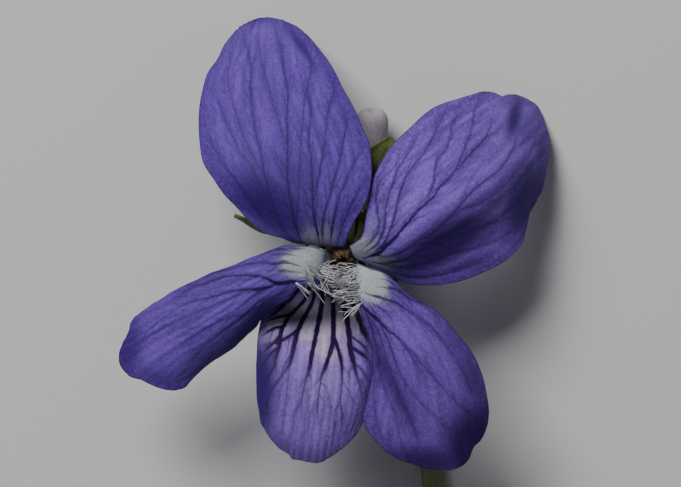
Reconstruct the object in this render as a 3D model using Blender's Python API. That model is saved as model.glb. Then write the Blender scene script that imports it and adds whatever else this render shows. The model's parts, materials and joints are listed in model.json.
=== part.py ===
"""A picked viola flower that lies face up on a surface, with its cut stem beside it.

Blender works in metres with +Z up. The sizes below are in millimetres: x and y are measured
from the middle of the throat, x to the flower's right as seen from the front and y towards
its upper petals, and z is the height above the surface that the flower lies on.
"""

import math

import bmesh
import bpy
import numpy as np

MM = 0.001
THROAT_X = 0.42
THROAT_Y = 7.92

PETAL_THICK = 0.6
SEPAL_THICK = 0.6
ANTHER_THICK = 0.6
STEM_RADIUS = 0.6
PRESSED = 0.12
RECEPTACLE_RADIUS = 1.2

PETAL_ACROSS = 12
PETAL_ALONG = 22
LOWER_PETAL_ALONG = 36
SEPAL_ACROSS = 4
SEPAL_ALONG = 12
TIP_SPREAD = 3.0
BEND_ROUND = 0.05
FOLDS_FULL_AFTER = 0.22

# The flower's own axis: the receptacle's front face, the way the flower faces, and its top side
RECEPTACLE = np.array((0.19, 1.60, 4.7))
FACING = np.array((-0.06, -0.48, 0.875))
TOPWARD = np.array((0.0, 0.877, 0.48))
RIGHTWARD = np.array((1.0, 0.0, 0.0))

# Each petal runs from its narrow claw at the receptacle, over the bend at the throat, to its tip.
# left and right are its edges at even steps, tip is the rounded end between them, claw holds the
# claw's heights, and blade the heights from the bend to the tip, at even distances along axis.
# roll_left and roll_right say how far the edges curl back below the middle, and dip moves the
# middle away from the line between the edges. A fold is a line across the blade, given by a point,
# the direction that slopes away from it, the slope and how soft its crease is. A dent is an oval
# hollow, given by its middle, its two radii, its turn and its depth.
PETALS = {
    "upper_petal_left": {
        "left": [(-1.35, 2.65), (-1.50, 2.00), (-1.75, 1.45), (-2.25, 1.05), (-3.85, 1.45), (-5.15, 2.50),
                 (-6.15, 3.70), (-6.90, 4.85), (-7.18, 6.20), (-7.15, 7.60), (-6.85, 9.00), (-6.15, 10.50)],
        "tip": [(-5.65, 11.40), (-4.80, 12.05), (-3.85, 12.33), (-2.95, 12.13), (-2.00, 11.60), (-1.15, 10.60)],
        "right": [(-0.65, 2.95), (-0.62, 2.25), (-0.60, 1.62), (-0.22, 1.12), (0.45, 1.90), (0.95, 2.75),
                  (1.35, 3.75), (1.40, 4.90), (1.25, 6.05), (0.80, 7.15), (0.25, 8.25), (-0.40, 9.50)],
        "claw": [5.35, 6.25, 7.05],
        "blade": [7.60, 8.10, 8.05, 7.70, 7.05, 6.10, 4.80, 2.90, -0.05],
        "bend": (-1.20, 1.00),
        "axis": (-0.225, 0.974),
        "length": 11.6,
        "roll_left": [0.0, 0.0, 0.1, 0.5, 0.8, 0.8, 0.5],
        "roll_right": [0.0, 0.0, 0.1, 0.2, 0.4, 0.7, 0.8],
        "dents": [(-4.10, 1.60, 2.40, 1.20, 140, 0.95)],
    },
    "upper_petal_right": {
        "left": [(1.30, 2.75), (1.42, 2.15), (1.48, 1.52), (0.86, 0.98), (1.12, 1.60), (1.25, 2.90),
                 (1.62, 4.20), (2.40, 5.70), (3.55, 6.90), (4.85, 7.85), (6.25, 8.38)],
        "tip": [(7.25, 8.55), (7.95, 8.36), (8.60, 8.42), (9.45, 8.10), (10.05, 7.30), (10.35, 6.10),
                (10.20, 4.50), (9.70, 3.05), (9.22, 2.10), (9.08, 1.25)],
        "right": [(2.00, 2.15), (2.02, 1.45), (1.84, 0.78), (1.04, 0.20), (1.60, -0.20), (2.55, -0.74),
                  (3.85, -1.15), (5.10, -1.13), (6.35, -0.80), (7.60, -0.25), (8.55, 0.50)],
        "claw": [5.35, 6.20, 6.90],
        "blade": [7.40, 7.75, 7.75, 7.40, 6.80, 5.90, 4.60, 2.70, -0.05],
        "bend": (0.95, 0.59),
        "axis": (0.835, 0.550),
        "length": 11.75,
        "roll_left": [0.0, 0.0, 0.1, 0.2, 0.4, 0.5, 0.4],
        "roll_right": [0.0, 0.1, 0.2, 0.2, 0.2, 0.3, 0.2],
        "folds": [(2.75, 0.75, -56.0, 0.70, 0.22), (4.00, -0.85, -60.0, -0.45, 0.35)],
    },
    "side_petal_left": {
        "left": [(-1.50, 1.40), (-1.48, 1.10), (-1.30, 0.70), (-0.98, 0.45), (-1.75, 0.62), (-2.80, 0.72),
                 (-4.05, 0.38), (-5.55, -0.15), (-7.00, -0.80), (-8.35, -1.45), (-9.65, -2.25)],
        "tip": [(-10.45, -2.90), (-10.95, -3.95), (-11.20, -4.75), (-10.80, -5.60), (-9.80, -6.05),
                (-8.65, -6.37)],
        "right": [(-1.62, 0.75), (-1.68, 0.25), (-1.58, -0.40), (-1.25, -1.10), (-1.90, -1.35), (-2.75, -1.85),
                  (-3.95, -2.70), (-4.80, -3.65), (-5.90, -4.55), (-7.05, -5.45), (-7.85, -6.15)],
        "claw": [4.45, 5.80, 7.20],
        "blade": [8.25, 8.75, 8.80, 8.60, 8.30, 7.90, 7.40, 6.80, 6.10],
        "bend": (-1.10, -0.20),
        "axis": (-0.905, -0.425),
        "length": 11.0,
        "roll_left": [0.0, 0.0, 0.1, 0.3, 0.5, 0.5, 0.4],
        "roll_right": [0.0, 0.0, 0.2, 0.9, 1.3, 1.3, 0.9],
    },
    "side_petal_right": {
        "left": [(2.10, 0.70), (1.88, -0.40), (1.32, -1.12), (0.75, -1.40), (0.85, -2.15), (1.05, -2.90),
                 (1.32, -3.85), (1.50, -4.95), (1.45, -6.05), (1.20, -7.10), (1.08, -8.15), (1.60, -8.98)],
        "tip": [(2.45, -9.65), (3.45, -10.05), (4.35, -10.30), (5.30, -10.36), (6.15, -10.00), (6.52, -9.30),
                (7.00, -8.65), (7.22, -7.90)],
        "right": [(2.08, 1.35), (1.80, 0.14), (1.14, -0.54), (0.78, -0.10), (1.40, -0.36), (2.25, -0.76),
                  (3.35, -1.60), (4.45, -2.30), (5.45, -3.35), (6.35, -4.40), (6.90, -5.70), (7.22, -7.00)],
        "claw": [4.45, 5.80, 7.20],
        "blade": [8.25, 8.75, 8.85, 8.80, 8.65, 8.40, 8.00, 7.50, 6.90],
        "bend": (0.75, -0.65),
        "axis": (0.435, -0.900),
        "length": 10.9,
        "roll_left": [0.0, 0.0, 0.0, 0.1, 0.2, 0.3, 0.3],
        "roll_right": [0.0, 0.0, 0.2, 0.5, 0.8, 1.0, 0.9],
        "dents": [(2.60, -6.30, 3.20, 0.50, -64, 0.24)],
    },
    "lower_petal": {
        "left": [(-1.06, -1.33), (-2.00, -1.45), (-3.10, -1.95), (-4.02, -2.95), (-4.25, -4.20),
                 (-4.30, -5.60), (-4.25, -7.00), (-3.85, -8.40)],
        "tip": [(-3.35, -9.10), (-2.60, -9.62), (-2.00, -9.90), (-1.45, -10.00), (-0.55, -9.65), (0.30, -8.95)],
        "right": [(1.06, -1.33), (1.20, -2.10), (1.40, -3.00), (1.50, -3.95), (1.60, -4.95), (1.55, -6.00),
                  (1.32, -7.10), (0.85, -8.20)],
        "claw": [],
        "blade": [5.10, 6.10, 7.00, 7.65, 8.00, 8.10, 8.05, 7.85, 7.50, 6.90],
        "bend": (0.0, -1.33),
        "axis": (-0.165, -0.986),
        "length": 8.75,
        "roll_left": [0.0, 0.0, 0.3, 0.5, 0.6, 0.7, 0.6],
        "roll_right": [0.0, 0.0, 0.3, 0.5, 0.6, 0.7, 0.6],
        "dip": [(0.0, -0.55, -0.21), (0.0, -0.45, -0.40), (0.0, -0.25, -0.45), (0.0, 0.0, -0.20),
                (0.0, 0.0, 0.0), (0.0, 0.0, 0.1), (0.0, 0.0, 0.1)],
    },
}

# The lower petal's base is the hollow spur, which opens into the claw's channel. Its middle line
# from the blunt end to the claw, its radius, and how far round its wall reaches to either side
SPUR = [(1.52, 7.72, 1.74), (1.50, 7.45, 1.64), (1.40, 6.70, 1.48), (1.15, 5.40, 1.32), (0.85, 3.90, 1.28),
        (0.55, 2.30, 1.45), (0.34, 0.95, 1.95), (0.26, 0.00, 2.75), (0.22, -0.52, 3.60), (0.12, -0.60, 4.50),
        (0.00, -0.72, 5.35)]
SPUR_RADII = [0.0, 0.62, 0.82, 0.82, 0.78, 0.76, 0.78, 0.82, 0.90, 1.05, 1.25]
SPUR_REACH = [180, 180, 180, 180, 180, 180, 180, 180, 140, 85, 58]
SPUR_SHARE = 0.55
SPUR_NOTCH = 0.30
SPUR_NOTCH_WIDTH = 0.25
SPUR_NOTCH_DEPTH = 0.05

# Each sepal's middle line, from the free lobe behind the receptacle to its point
SEPALS = {
    "sepal_top": [(0.26, 3.70, 4.75), (0.30, 3.52, 5.25), (0.80, 4.02, 5.70), (1.72, 5.20, 5.55), (2.66, 6.28, 4.80)],
    "sepal_left": [(-1.55, 2.65, 4.15), (-1.70, 2.40, 4.75), (-2.60, 2.05, 5.15), (-3.95, 1.72, 5.05),
                   (-5.42, 2.32, 4.55)],
    "sepal_right": [(2.03, 2.65, 4.15), (2.18, 2.40, 4.75), (3.00, 2.35, 5.10), (4.40, 2.10, 5.00),
                    (5.80, 1.70, 4.50)],
    "sepal_lower_left": [(-1.32, 0.85, 3.36), (-1.42, 0.52, 3.85), (-2.02, -0.15, 4.20), (-2.75, -1.10, 4.40),
                         (-3.45, -2.10, 4.45)],
    "sepal_lower_right": [(1.86, 0.85, 3.36), (1.95, 0.52, 3.85), (2.25, -0.35, 4.20), (2.42, -1.55, 4.40),
                          (2.58, -2.85, 4.45)],
}
SEPAL_HALF_WIDTHS = [0.34, 0.44, 0.64, 0.56, 0.22]

# The stem's middle line, from the receptacle, round its crook and along the surface to the cut
STEM = [(0.24, 1.64, 4.66), (0.26, 1.80, 4.35), (0.40, 2.12, 3.82), (0.92, 2.52, 3.38), (1.72, 2.72, 2.92),
        (2.50, 2.58, 2.22), (2.85, 1.85, 1.40), (2.55, 0.70, 0.80), (2.05, -0.50, 0.58), (1.85, -1.70, 0.58),
        (2.15, -3.40, 0.58), (3.05, -5.80, 0.58), (4.05, -8.50, 0.58), (4.60, -11.30, 0.58), (4.40, -15.00, 0.58),
        (3.30, -19.50, 0.58), (1.40, -24.00, 0.58), (-1.20, -28.20, 0.58)]
STEM_RADII = [RECEPTACLE_RADIUS, 1.15, 0.66] + [STEM_RADIUS] * 15
STEM_RINGS = 50

# The two small bracts on the stem, from the stem's side to their points
BRACTS = {
    "bract_left": [(2.90, -16.40, 0.75), (2.25, -15.20, 0.60), (1.85, -13.70, 0.45), (1.75, -12.20, 0.30)],
    "bract_right": [(4.78, -18.60, 0.75), (5.32, -17.40, 0.60), (5.70, -16.00, 0.45), (5.90, -14.60, 0.30)],
}
BRACT_HALF_WIDTHS = [0.34, 0.40, 0.30, 0.12]

# The ring of stamens round the pistil: distances along the axis from the receptacle, with radii
STAMEN_REACH = [0.3, 1.1, 1.9, 2.6, 3.1]
STAMEN_RADII = [0.86, 0.88, 0.75, 0.52, 0.39]
STAMEN_HALF_ANGLES = [27.0, 27.5, 26.0, 21.0, 6.0]
STAMEN_ACROSS = 4
STAMEN_ALONG = 8
STAMENS = {"stamen_top": 0, "stamen_right": 72, "stamen_lower_right": 144,
           "stamen_lower_left": 216, "stamen_left": 288}
NECTAR_HORNS = {"stamen_lower_right": 0.24, "stamen_lower_left": -0.24}
HORN_RADIUS = 0.15

PISTIL_REACH = [0.30, 0.50, 0.95, 1.40, 1.75, 2.00, 2.20, 2.40, 2.52]
PISTIL_RADII = [0.20, 0.34, 0.40, 0.30, 0.16, 0.13, 0.12, 0.12, 0.07]

COLOURS = {
    "petal": ((0.105, 0.075, 0.36), 0.55),
    "sepal": ((0.10, 0.16, 0.03), 0.6),
    "stem": ((0.16, 0.22, 0.06), 0.55),
    "stamen": ((0.55, 0.24, 0.05), 0.6),
    "pistil": ((0.42, 0.48, 0.22), 0.5),
}


def clear_scene():
    for obj in list(bpy.data.objects):
        bpy.data.objects.remove(obj)


def in_metres(points):
    """Points of the flower, in millimetres from its throat, as places in the scene."""
    shift = np.array((THROAT_X, THROAT_Y, 0.0))
    return (np.asarray(points, float) + shift) * MM


def spline(points, t):
    """The smooth curve through the points, with t from 0 at the first to 1 at the last."""
    p = np.asarray(points, float)
    if p.ndim == 1:
        return spline(p[:, None], t)[..., 0]
    p = np.vstack([2 * p[0] - p[1], p, 2 * p[-1] - p[-2]])
    t = np.clip(np.asarray(t, float), 0, 1) * (len(p) - 3)
    i = np.clip(t.astype(int), 0, len(p) - 4)
    f = (t - i)[..., None]
    a, b, c, d = p[i], p[i + 1], p[i + 2], p[i + 3]
    return b + 0.5 * f * (c - a + f * (2 * a - 5 * b + 4 * c - d + f * (3 * (b - c) + d - a)))


def sunk(form, points):
    """How far the folds and dents of a petal lower it at each point."""
    depth = np.zeros(points.shape[:-1])
    for x, y, turn, slope, soft in form.get("folds", []):
        away = math.cos(math.radians(turn)), math.sin(math.radians(turn))
        past = (points[..., 0] - x) * away[0] + (points[..., 1] - y) * away[1]
        depth += slope * soft * np.logaddexp(0, past / soft)
    for x, y, long, short, turn, deepest in form.get("dents", []):
        c, s = math.cos(math.radians(turn)), math.sin(math.radians(turn))
        dx, dy = points[..., 0] - x, points[..., 1] - y
        depth += deepest * np.exp(-0.9 * (((dx * c + dy * s) / long) ** 2 + ((dy * c - dx * s) / short) ** 2))
    return depth


def petal_surface(form, u, v):
    """Points in the middle of a petal's thickness, u across it from edge to edge, v along it."""
    left, tip, right = form["left"], form["tip"], form["right"]
    outline = np.array(left + tip + right[::-1])
    side = (len(left) - 1) / (len(outline) - 1)

    def flat(v):
        across = u[..., None]
        end = spline(outline, side + (1 - 2 * side) * u)
        chord = (1 - across) * np.array(left[-1]) + across * np.array(right[-1])
        middle = (1 - across) * spline(outline, side * v) + across * spline(outline, 1 - side * v)
        return middle + v[..., None] ** TIP_SPREAD * (end - chord)

    def reach(place):
        return (place - np.array(form["bend"])) @ np.array(form["axis"]) / form["length"]

    claw = form["claw"] + form["blade"][:1]
    bend_at = form["claw"] and (len(claw) - 1) / (len(left) - 1) or 0.0
    places = flat(v)
    at_bend, at_tip = reach(flat(np.full_like(v, bend_at))), reach(flat(np.ones_like(v)))
    along = np.clip((reach(places) - at_bend) / (at_tip - at_bend), 0, 1) * at_tip
    height = spline(form["blade"], along)
    if form["claw"]:
        past = np.maximum(v - bend_at, 0)
        rise = (claw[-1] - claw[-2]) / bend_at * (len(claw) - 1)
        height += rise * past * np.exp(-past / BEND_ROUND)
        height = np.where(v < bend_at, spline(claw, v / bend_at), height)
    from_middle = 2 * u - 1
    roll = np.where(u < 0.5, spline(form["roll_left"], v), spline(form["roll_right"], v))
    points = np.concatenate([places, (height - roll * from_middle**2)[..., None]], axis=-1)
    if "dip" in form:
        points += (1 - from_middle**2)[..., None] * spline(form["dip"], v)
    points[..., 2] -= np.clip((v - bend_at) / FOLDS_FULL_AFTER, 0, 1) * sunk(form, points)
    return points


def spur_surface(u, v):
    """Points in the spur's wall, u round it from seam to seam, v from its blunt end to the claw."""
    middle = spline(SPUR, v)
    ahead = spline(SPUR, v + 0.01) - spline(SPUR, v - 0.01)
    ahead /= np.linalg.norm(ahead, axis=-1, keepdims=True)
    sideways = RIGHTWARD - ahead[..., :1] * ahead
    sideways /= np.linalg.norm(sideways, axis=-1, keepdims=True)
    topward = np.cross(ahead, sideways)
    radius = spline(SPUR_RADII, v)[..., None]
    turn = np.radians((2 * u - 1) * np.clip(spline(SPUR_REACH, v), 0, 180))[..., None]
    aside = radius * np.sin(turn)
    notch = SPUR_NOTCH * np.exp(-((aside / SPUR_NOTCH_WIDTH) ** 2) - (v[..., None] / SPUR_NOTCH_DEPTH) ** 2)
    return middle + aside * sideways - radius * np.cos(turn) * topward + notch * ahead


def lower_petal_surface(u, v):
    """The spur's wall and, past SPUR_SHARE of the way, the blade that it opens into."""
    form = PETALS["lower_petal"]
    in_spur = np.clip(v / SPUR_SHARE, 0, 1)
    in_blade = np.clip((v - SPUR_SHARE) / (1 - SPUR_SHARE), 0, 1)
    first = np.zeros_like(v)
    shift = petal_surface(form, u, first) - spur_surface(u, first + 1)
    near = np.clip(5 * in_spur - 4, 0, 1)[..., None] ** 2
    spur = spur_surface(u, in_spur) + near * shift
    return np.where((v < SPUR_SHARE)[..., None], spur, petal_surface(form, u, in_blade))


def material(name):
    """The Principled finish of one kind of tissue, made once."""
    found = bpy.data.materials.get(name)
    if found:
        return found
    colour, roughness = COLOURS[name]
    made = bpy.data.materials.new(name)
    made.use_nodes = True
    shader = made.node_tree.nodes["Principled BSDF"]
    shader.inputs["Base Color"].default_value = (*colour, 1.0)
    shader.inputs["Roughness"].default_value = roughness
    shader.inputs["Metallic"].default_value = 0.0
    return made


def add_object(name, mesh, tissue):
    obj = bpy.data.objects.new(name, mesh)
    bpy.context.scene.collection.objects.link(obj)
    obj.data.materials.append(material(tissue))
    return obj


def apply_modifiers(obj):
    """Turns what the modifiers make into the object's own mesh."""
    graph = bpy.context.evaluated_depsgraph_get()
    mesh = bpy.data.meshes.new_from_object(obj.evaluated_get(graph))
    obj.modifiers.clear()
    obj.data = mesh


def lay_flat(obj):
    """Presses what comes down to the surface that the flower lies on flat against it."""
    for vert in obj.data.vertices:
        if vert.co.z < PRESSED * MM:
            vert.co.z = 0.0


def blade(name, surface, across, along, thickness, tissue):
    """A thin closed blade whose middle follows surface(u, v)."""
    bm = bmesh.new()
    bmesh.ops.create_grid(bm, x_segments=across, y_segments=along, size=0.5)
    bm.verts.ensure_lookup_table()
    at = np.array([vert.co[:2] for vert in bm.verts]) + 0.5
    for vert, place in zip(bm.verts, in_metres(surface(at[:, 0], at[:, 1]))):
        vert.co = place
    bmesh.ops.remove_doubles(bm, verts=bm.verts, dist=0.002 * MM)
    bmesh.ops.triangulate(bm, faces=bm.faces)
    mesh = bpy.data.meshes.new(name)
    bm.to_mesh(mesh)
    bm.free()
    obj = add_object(name, mesh, tissue)
    thicken = obj.modifiers.new("Thickness", "SOLIDIFY")
    thicken.thickness = thickness * MM
    thicken.offset = 0.0
    thicken.use_even_offset = True
    apply_modifiers(obj)
    lay_flat(obj)
    obj.data.shade_smooth()
    return obj


def tube(name, path, radii, rings, tissue, sides=3):
    """A closed round body along a smooth path, with a radius at each of the path's points."""
    steps = np.linspace(0, 1, rings)
    points = in_metres(spline(path, steps))
    widths = spline(radii, steps)
    curve = bpy.data.curves.new(name, "CURVE")
    curve.dimensions = "3D"
    curve.bevel_depth = MM
    curve.bevel_resolution = sides
    curve.use_fill_caps = True
    line = curve.splines.new("POLY")
    line.points.add(rings - 1)
    for point, place, width in zip(line.points, points, widths):
        point.co = (*place, 1.0)
        point.radius = width
    guide = bpy.data.objects.new(name + "_guide", curve)
    bpy.context.scene.collection.objects.link(guide)
    graph = bpy.context.evaluated_depsgraph_get()
    mesh = bpy.data.meshes.new_from_object(guide.evaluated_get(graph))
    bpy.data.objects.remove(guide)
    bm = bmesh.new()
    bm.from_mesh(mesh)
    bmesh.ops.remove_doubles(bm, verts=bm.verts, dist=0.002 * MM)
    bmesh.ops.recalc_face_normals(bm, faces=bm.faces)
    bm.to_mesh(mesh)
    bm.free()
    mesh.materials.clear()
    obj = add_object(name, mesh, tissue)
    lay_flat(obj)
    obj.data.shade_smooth()
    return obj


def combine(body, tool, operation):
    """Joins tool to body, or cuts it from body, and removes it."""
    boolean = body.modifiers.new(operation.title(), "BOOLEAN")
    boolean.operation = operation
    boolean.object = tool
    apply_modifiers(body)
    bpy.data.objects.remove(tool)


def ribbon(path, half_widths, cup):
    """A surface for a sepal or a bract: a strip round its middle line, a little hollow across."""
    path = np.array(path)
    run = path[-1] - path[1]
    sideways = np.array((run[1], -run[0], 0.0)) / math.hypot(run[0], run[1])

    def surface(u, v):
        from_middle = 2 * u - 1
        points = spline(path, v) + (spline(half_widths, v) * from_middle)[..., None] * sideways
        points[..., 2] += cup * from_middle**2
        return points

    return surface


def on_axis(reach, radius, turn):
    """A point beside the flower's axis: reach ahead of the receptacle, turned from its top side."""
    turn = np.radians(turn)
    ahead = RECEPTACLE + np.multiply.outer(reach, FACING)
    out = np.multiply.outer(radius * np.cos(turn), TOPWARD) + np.multiply.outer(radius * np.sin(turn), RIGHTWARD)
    return ahead + out


def stamen_surface(turn):
    def surface(u, v):
        half = spline(STAMEN_HALF_ANGLES, v)
        return on_axis(spline(STAMEN_REACH, v), spline(STAMEN_RADII, v), turn + (2 * u - 1) * half)

    return surface


def build_petals():
    for name, form in PETALS.items():
        surface = lambda u, v, form=form: petal_surface(form, u, v)
        along = PETAL_ALONG
        if name == "lower_petal":
            surface, along = lower_petal_surface, LOWER_PETAL_ALONG
        blade(name, surface, PETAL_ACROSS, along, PETAL_THICK, "petal")


def build_calyx():
    for name, path in SEPALS.items():
        blade(name, ribbon(path, SEPAL_HALF_WIDTHS, 0.12), SEPAL_ACROSS, SEPAL_ALONG, SEPAL_THICK, "sepal")


def build_stem():
    tube("stem", STEM, STEM_RADII, STEM_RINGS, "stem")
    for name, path in BRACTS.items():
        blade(name, ribbon(path, BRACT_HALF_WIDTHS, 0.0), SEPAL_ACROSS, SEPAL_ALONG, SEPAL_THICK, "sepal")


def build_stamens():
    for name, turn in STAMENS.items():
        stamen = blade(name, stamen_surface(turn), STAMEN_ACROSS, STAMEN_ALONG, ANTHER_THICK, "stamen")
        if name in NECTAR_HORNS:
            aside = NECTAR_HORNS[name]
            root = on_axis(1.0, 1.0, turn)
            path = [root, (0.24 + 1.6 * aside, -0.10, 4.95), (0.24 + aside, -0.45, 3.90), (0.27 + aside, 0.10, 2.65)]
            horn = tube(name + "_horn", path, [HORN_RADIUS] * 4, 10, "stamen", sides=1)
            combine(stamen, horn, "UNION")


def build_pistil():
    path = [on_axis(reach, 0.0, 0.0) for reach in PISTIL_REACH]
    tube("pistil", path, PISTIL_RADII, 20, "pistil")


def main():
    clear_scene()
    build_petals()
    build_calyx()
    build_stem()
    build_stamens()
    build_pistil()


main()
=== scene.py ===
# %% [markdown]
# # A picked violet flower
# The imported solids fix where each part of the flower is. This lesson dresses them: thin petals with
# their veins, the white beard in the throat, the cone of stamens, sepals, spur, stem and bracts.
# Everything lies in the solids' own frame, in metres, with the flower face up on a pale surface.

# %% Load the frame
import json
import math

import bmesh
import bpy
import numpy as np
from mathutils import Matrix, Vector, kdtree

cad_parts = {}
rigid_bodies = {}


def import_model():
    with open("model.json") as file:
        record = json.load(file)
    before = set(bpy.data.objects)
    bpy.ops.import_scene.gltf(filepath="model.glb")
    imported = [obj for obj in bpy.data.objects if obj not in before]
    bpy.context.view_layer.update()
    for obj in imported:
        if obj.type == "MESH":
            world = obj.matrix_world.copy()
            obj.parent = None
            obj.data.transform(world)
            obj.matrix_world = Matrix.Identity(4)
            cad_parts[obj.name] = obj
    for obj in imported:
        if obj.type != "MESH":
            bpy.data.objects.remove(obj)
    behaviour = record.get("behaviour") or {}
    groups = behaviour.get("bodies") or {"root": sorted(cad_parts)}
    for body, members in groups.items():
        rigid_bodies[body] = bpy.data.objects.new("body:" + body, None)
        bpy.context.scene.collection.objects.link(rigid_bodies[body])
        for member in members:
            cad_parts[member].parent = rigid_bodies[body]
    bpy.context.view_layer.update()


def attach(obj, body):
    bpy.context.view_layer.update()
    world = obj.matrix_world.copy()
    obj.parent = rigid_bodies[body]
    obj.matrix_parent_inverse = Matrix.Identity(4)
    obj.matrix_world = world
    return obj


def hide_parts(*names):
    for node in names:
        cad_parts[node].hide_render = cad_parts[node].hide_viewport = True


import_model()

# %% [markdown]
# ## Measures and smooth lines
# Flowers are measured in millimetres from the middle of the throat. Bezier curves could draw every
# line, but their handles are hard to read. A Catmull-Rom curve passes through its points, so one such
# curve serves for outlines, heights and the spines of hairs, and its numbers are read off the flower.

# %% Smooth lines
MM = 0.001
THROAT = np.array((0.42, 7.92, 0.0))
STEPS_A_POINT = 40


def in_metres(points):
    """Points of the flower, in millimetres from its throat, as places in the scene."""
    return (np.asarray(points, float) + THROAT) * MM


def spline(points, t):
    """The smooth curve through the points, with t from 0 at the first to 1 at the last."""
    p = np.asarray(points, float)
    if p.ndim == 1:
        return spline(p[:, None], t)[..., 0]
    p = np.vstack([2 * p[0] - p[1], p, 2 * p[-1] - p[-2]])
    t = np.clip(np.asarray(t, float), 0, 1) * (len(p) - 3)
    i = np.clip(t.astype(int), 0, len(p) - 4)
    f = (t - i)[..., None]
    a, b, c, d = p[i], p[i + 1], p[i + 2], p[i + 3]
    return b + 0.5 * f * (c - a + f * (2 * a - 5 * b + 4 * c - d + f * (3 * (b - c) + d - a)))


def even(points, count):
    """That many points at equal distances along the smooth curve through the points."""
    fine = spline(points, np.linspace(0, 1, STEPS_A_POINT * len(points)))
    run = np.concatenate([[0], np.cumsum(np.linalg.norm(np.diff(fine, axis=0), axis=1))])
    at = np.linspace(0, run[-1], count)
    return np.stack([np.interp(at, run, fine[:, k]) for k in range(fine.shape[1])], axis=1)


def smooth(x, low, high):
    """0 below low, 1 above high, and a soft step between."""
    t = np.clip((x - low) / (high - low), 0, 1)
    return t * t * (3 - 2 * t)


def tree_of(places):
    """A search tree of places, each given by x and y or by x, y and z."""
    tree = kdtree.KDTree(len(places))
    for i, place in enumerate(places):
        tree.insert((*place, 0.0)[:3], i)
    tree.balance()
    return tree


print("the throat lies at", in_metres((0, 0, 0)))

# %% [markdown]
# ## The shape of a petal
# A petal is a thin curved sheet: a narrow claw that grows from the receptacle, a bend at the throat,
# and a broad blade. It could be sculpted by hand, but then its outline would be guesswork. Instead each
# form below gives the outline as seen from the front, with its small notches, and the height along it.

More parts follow.
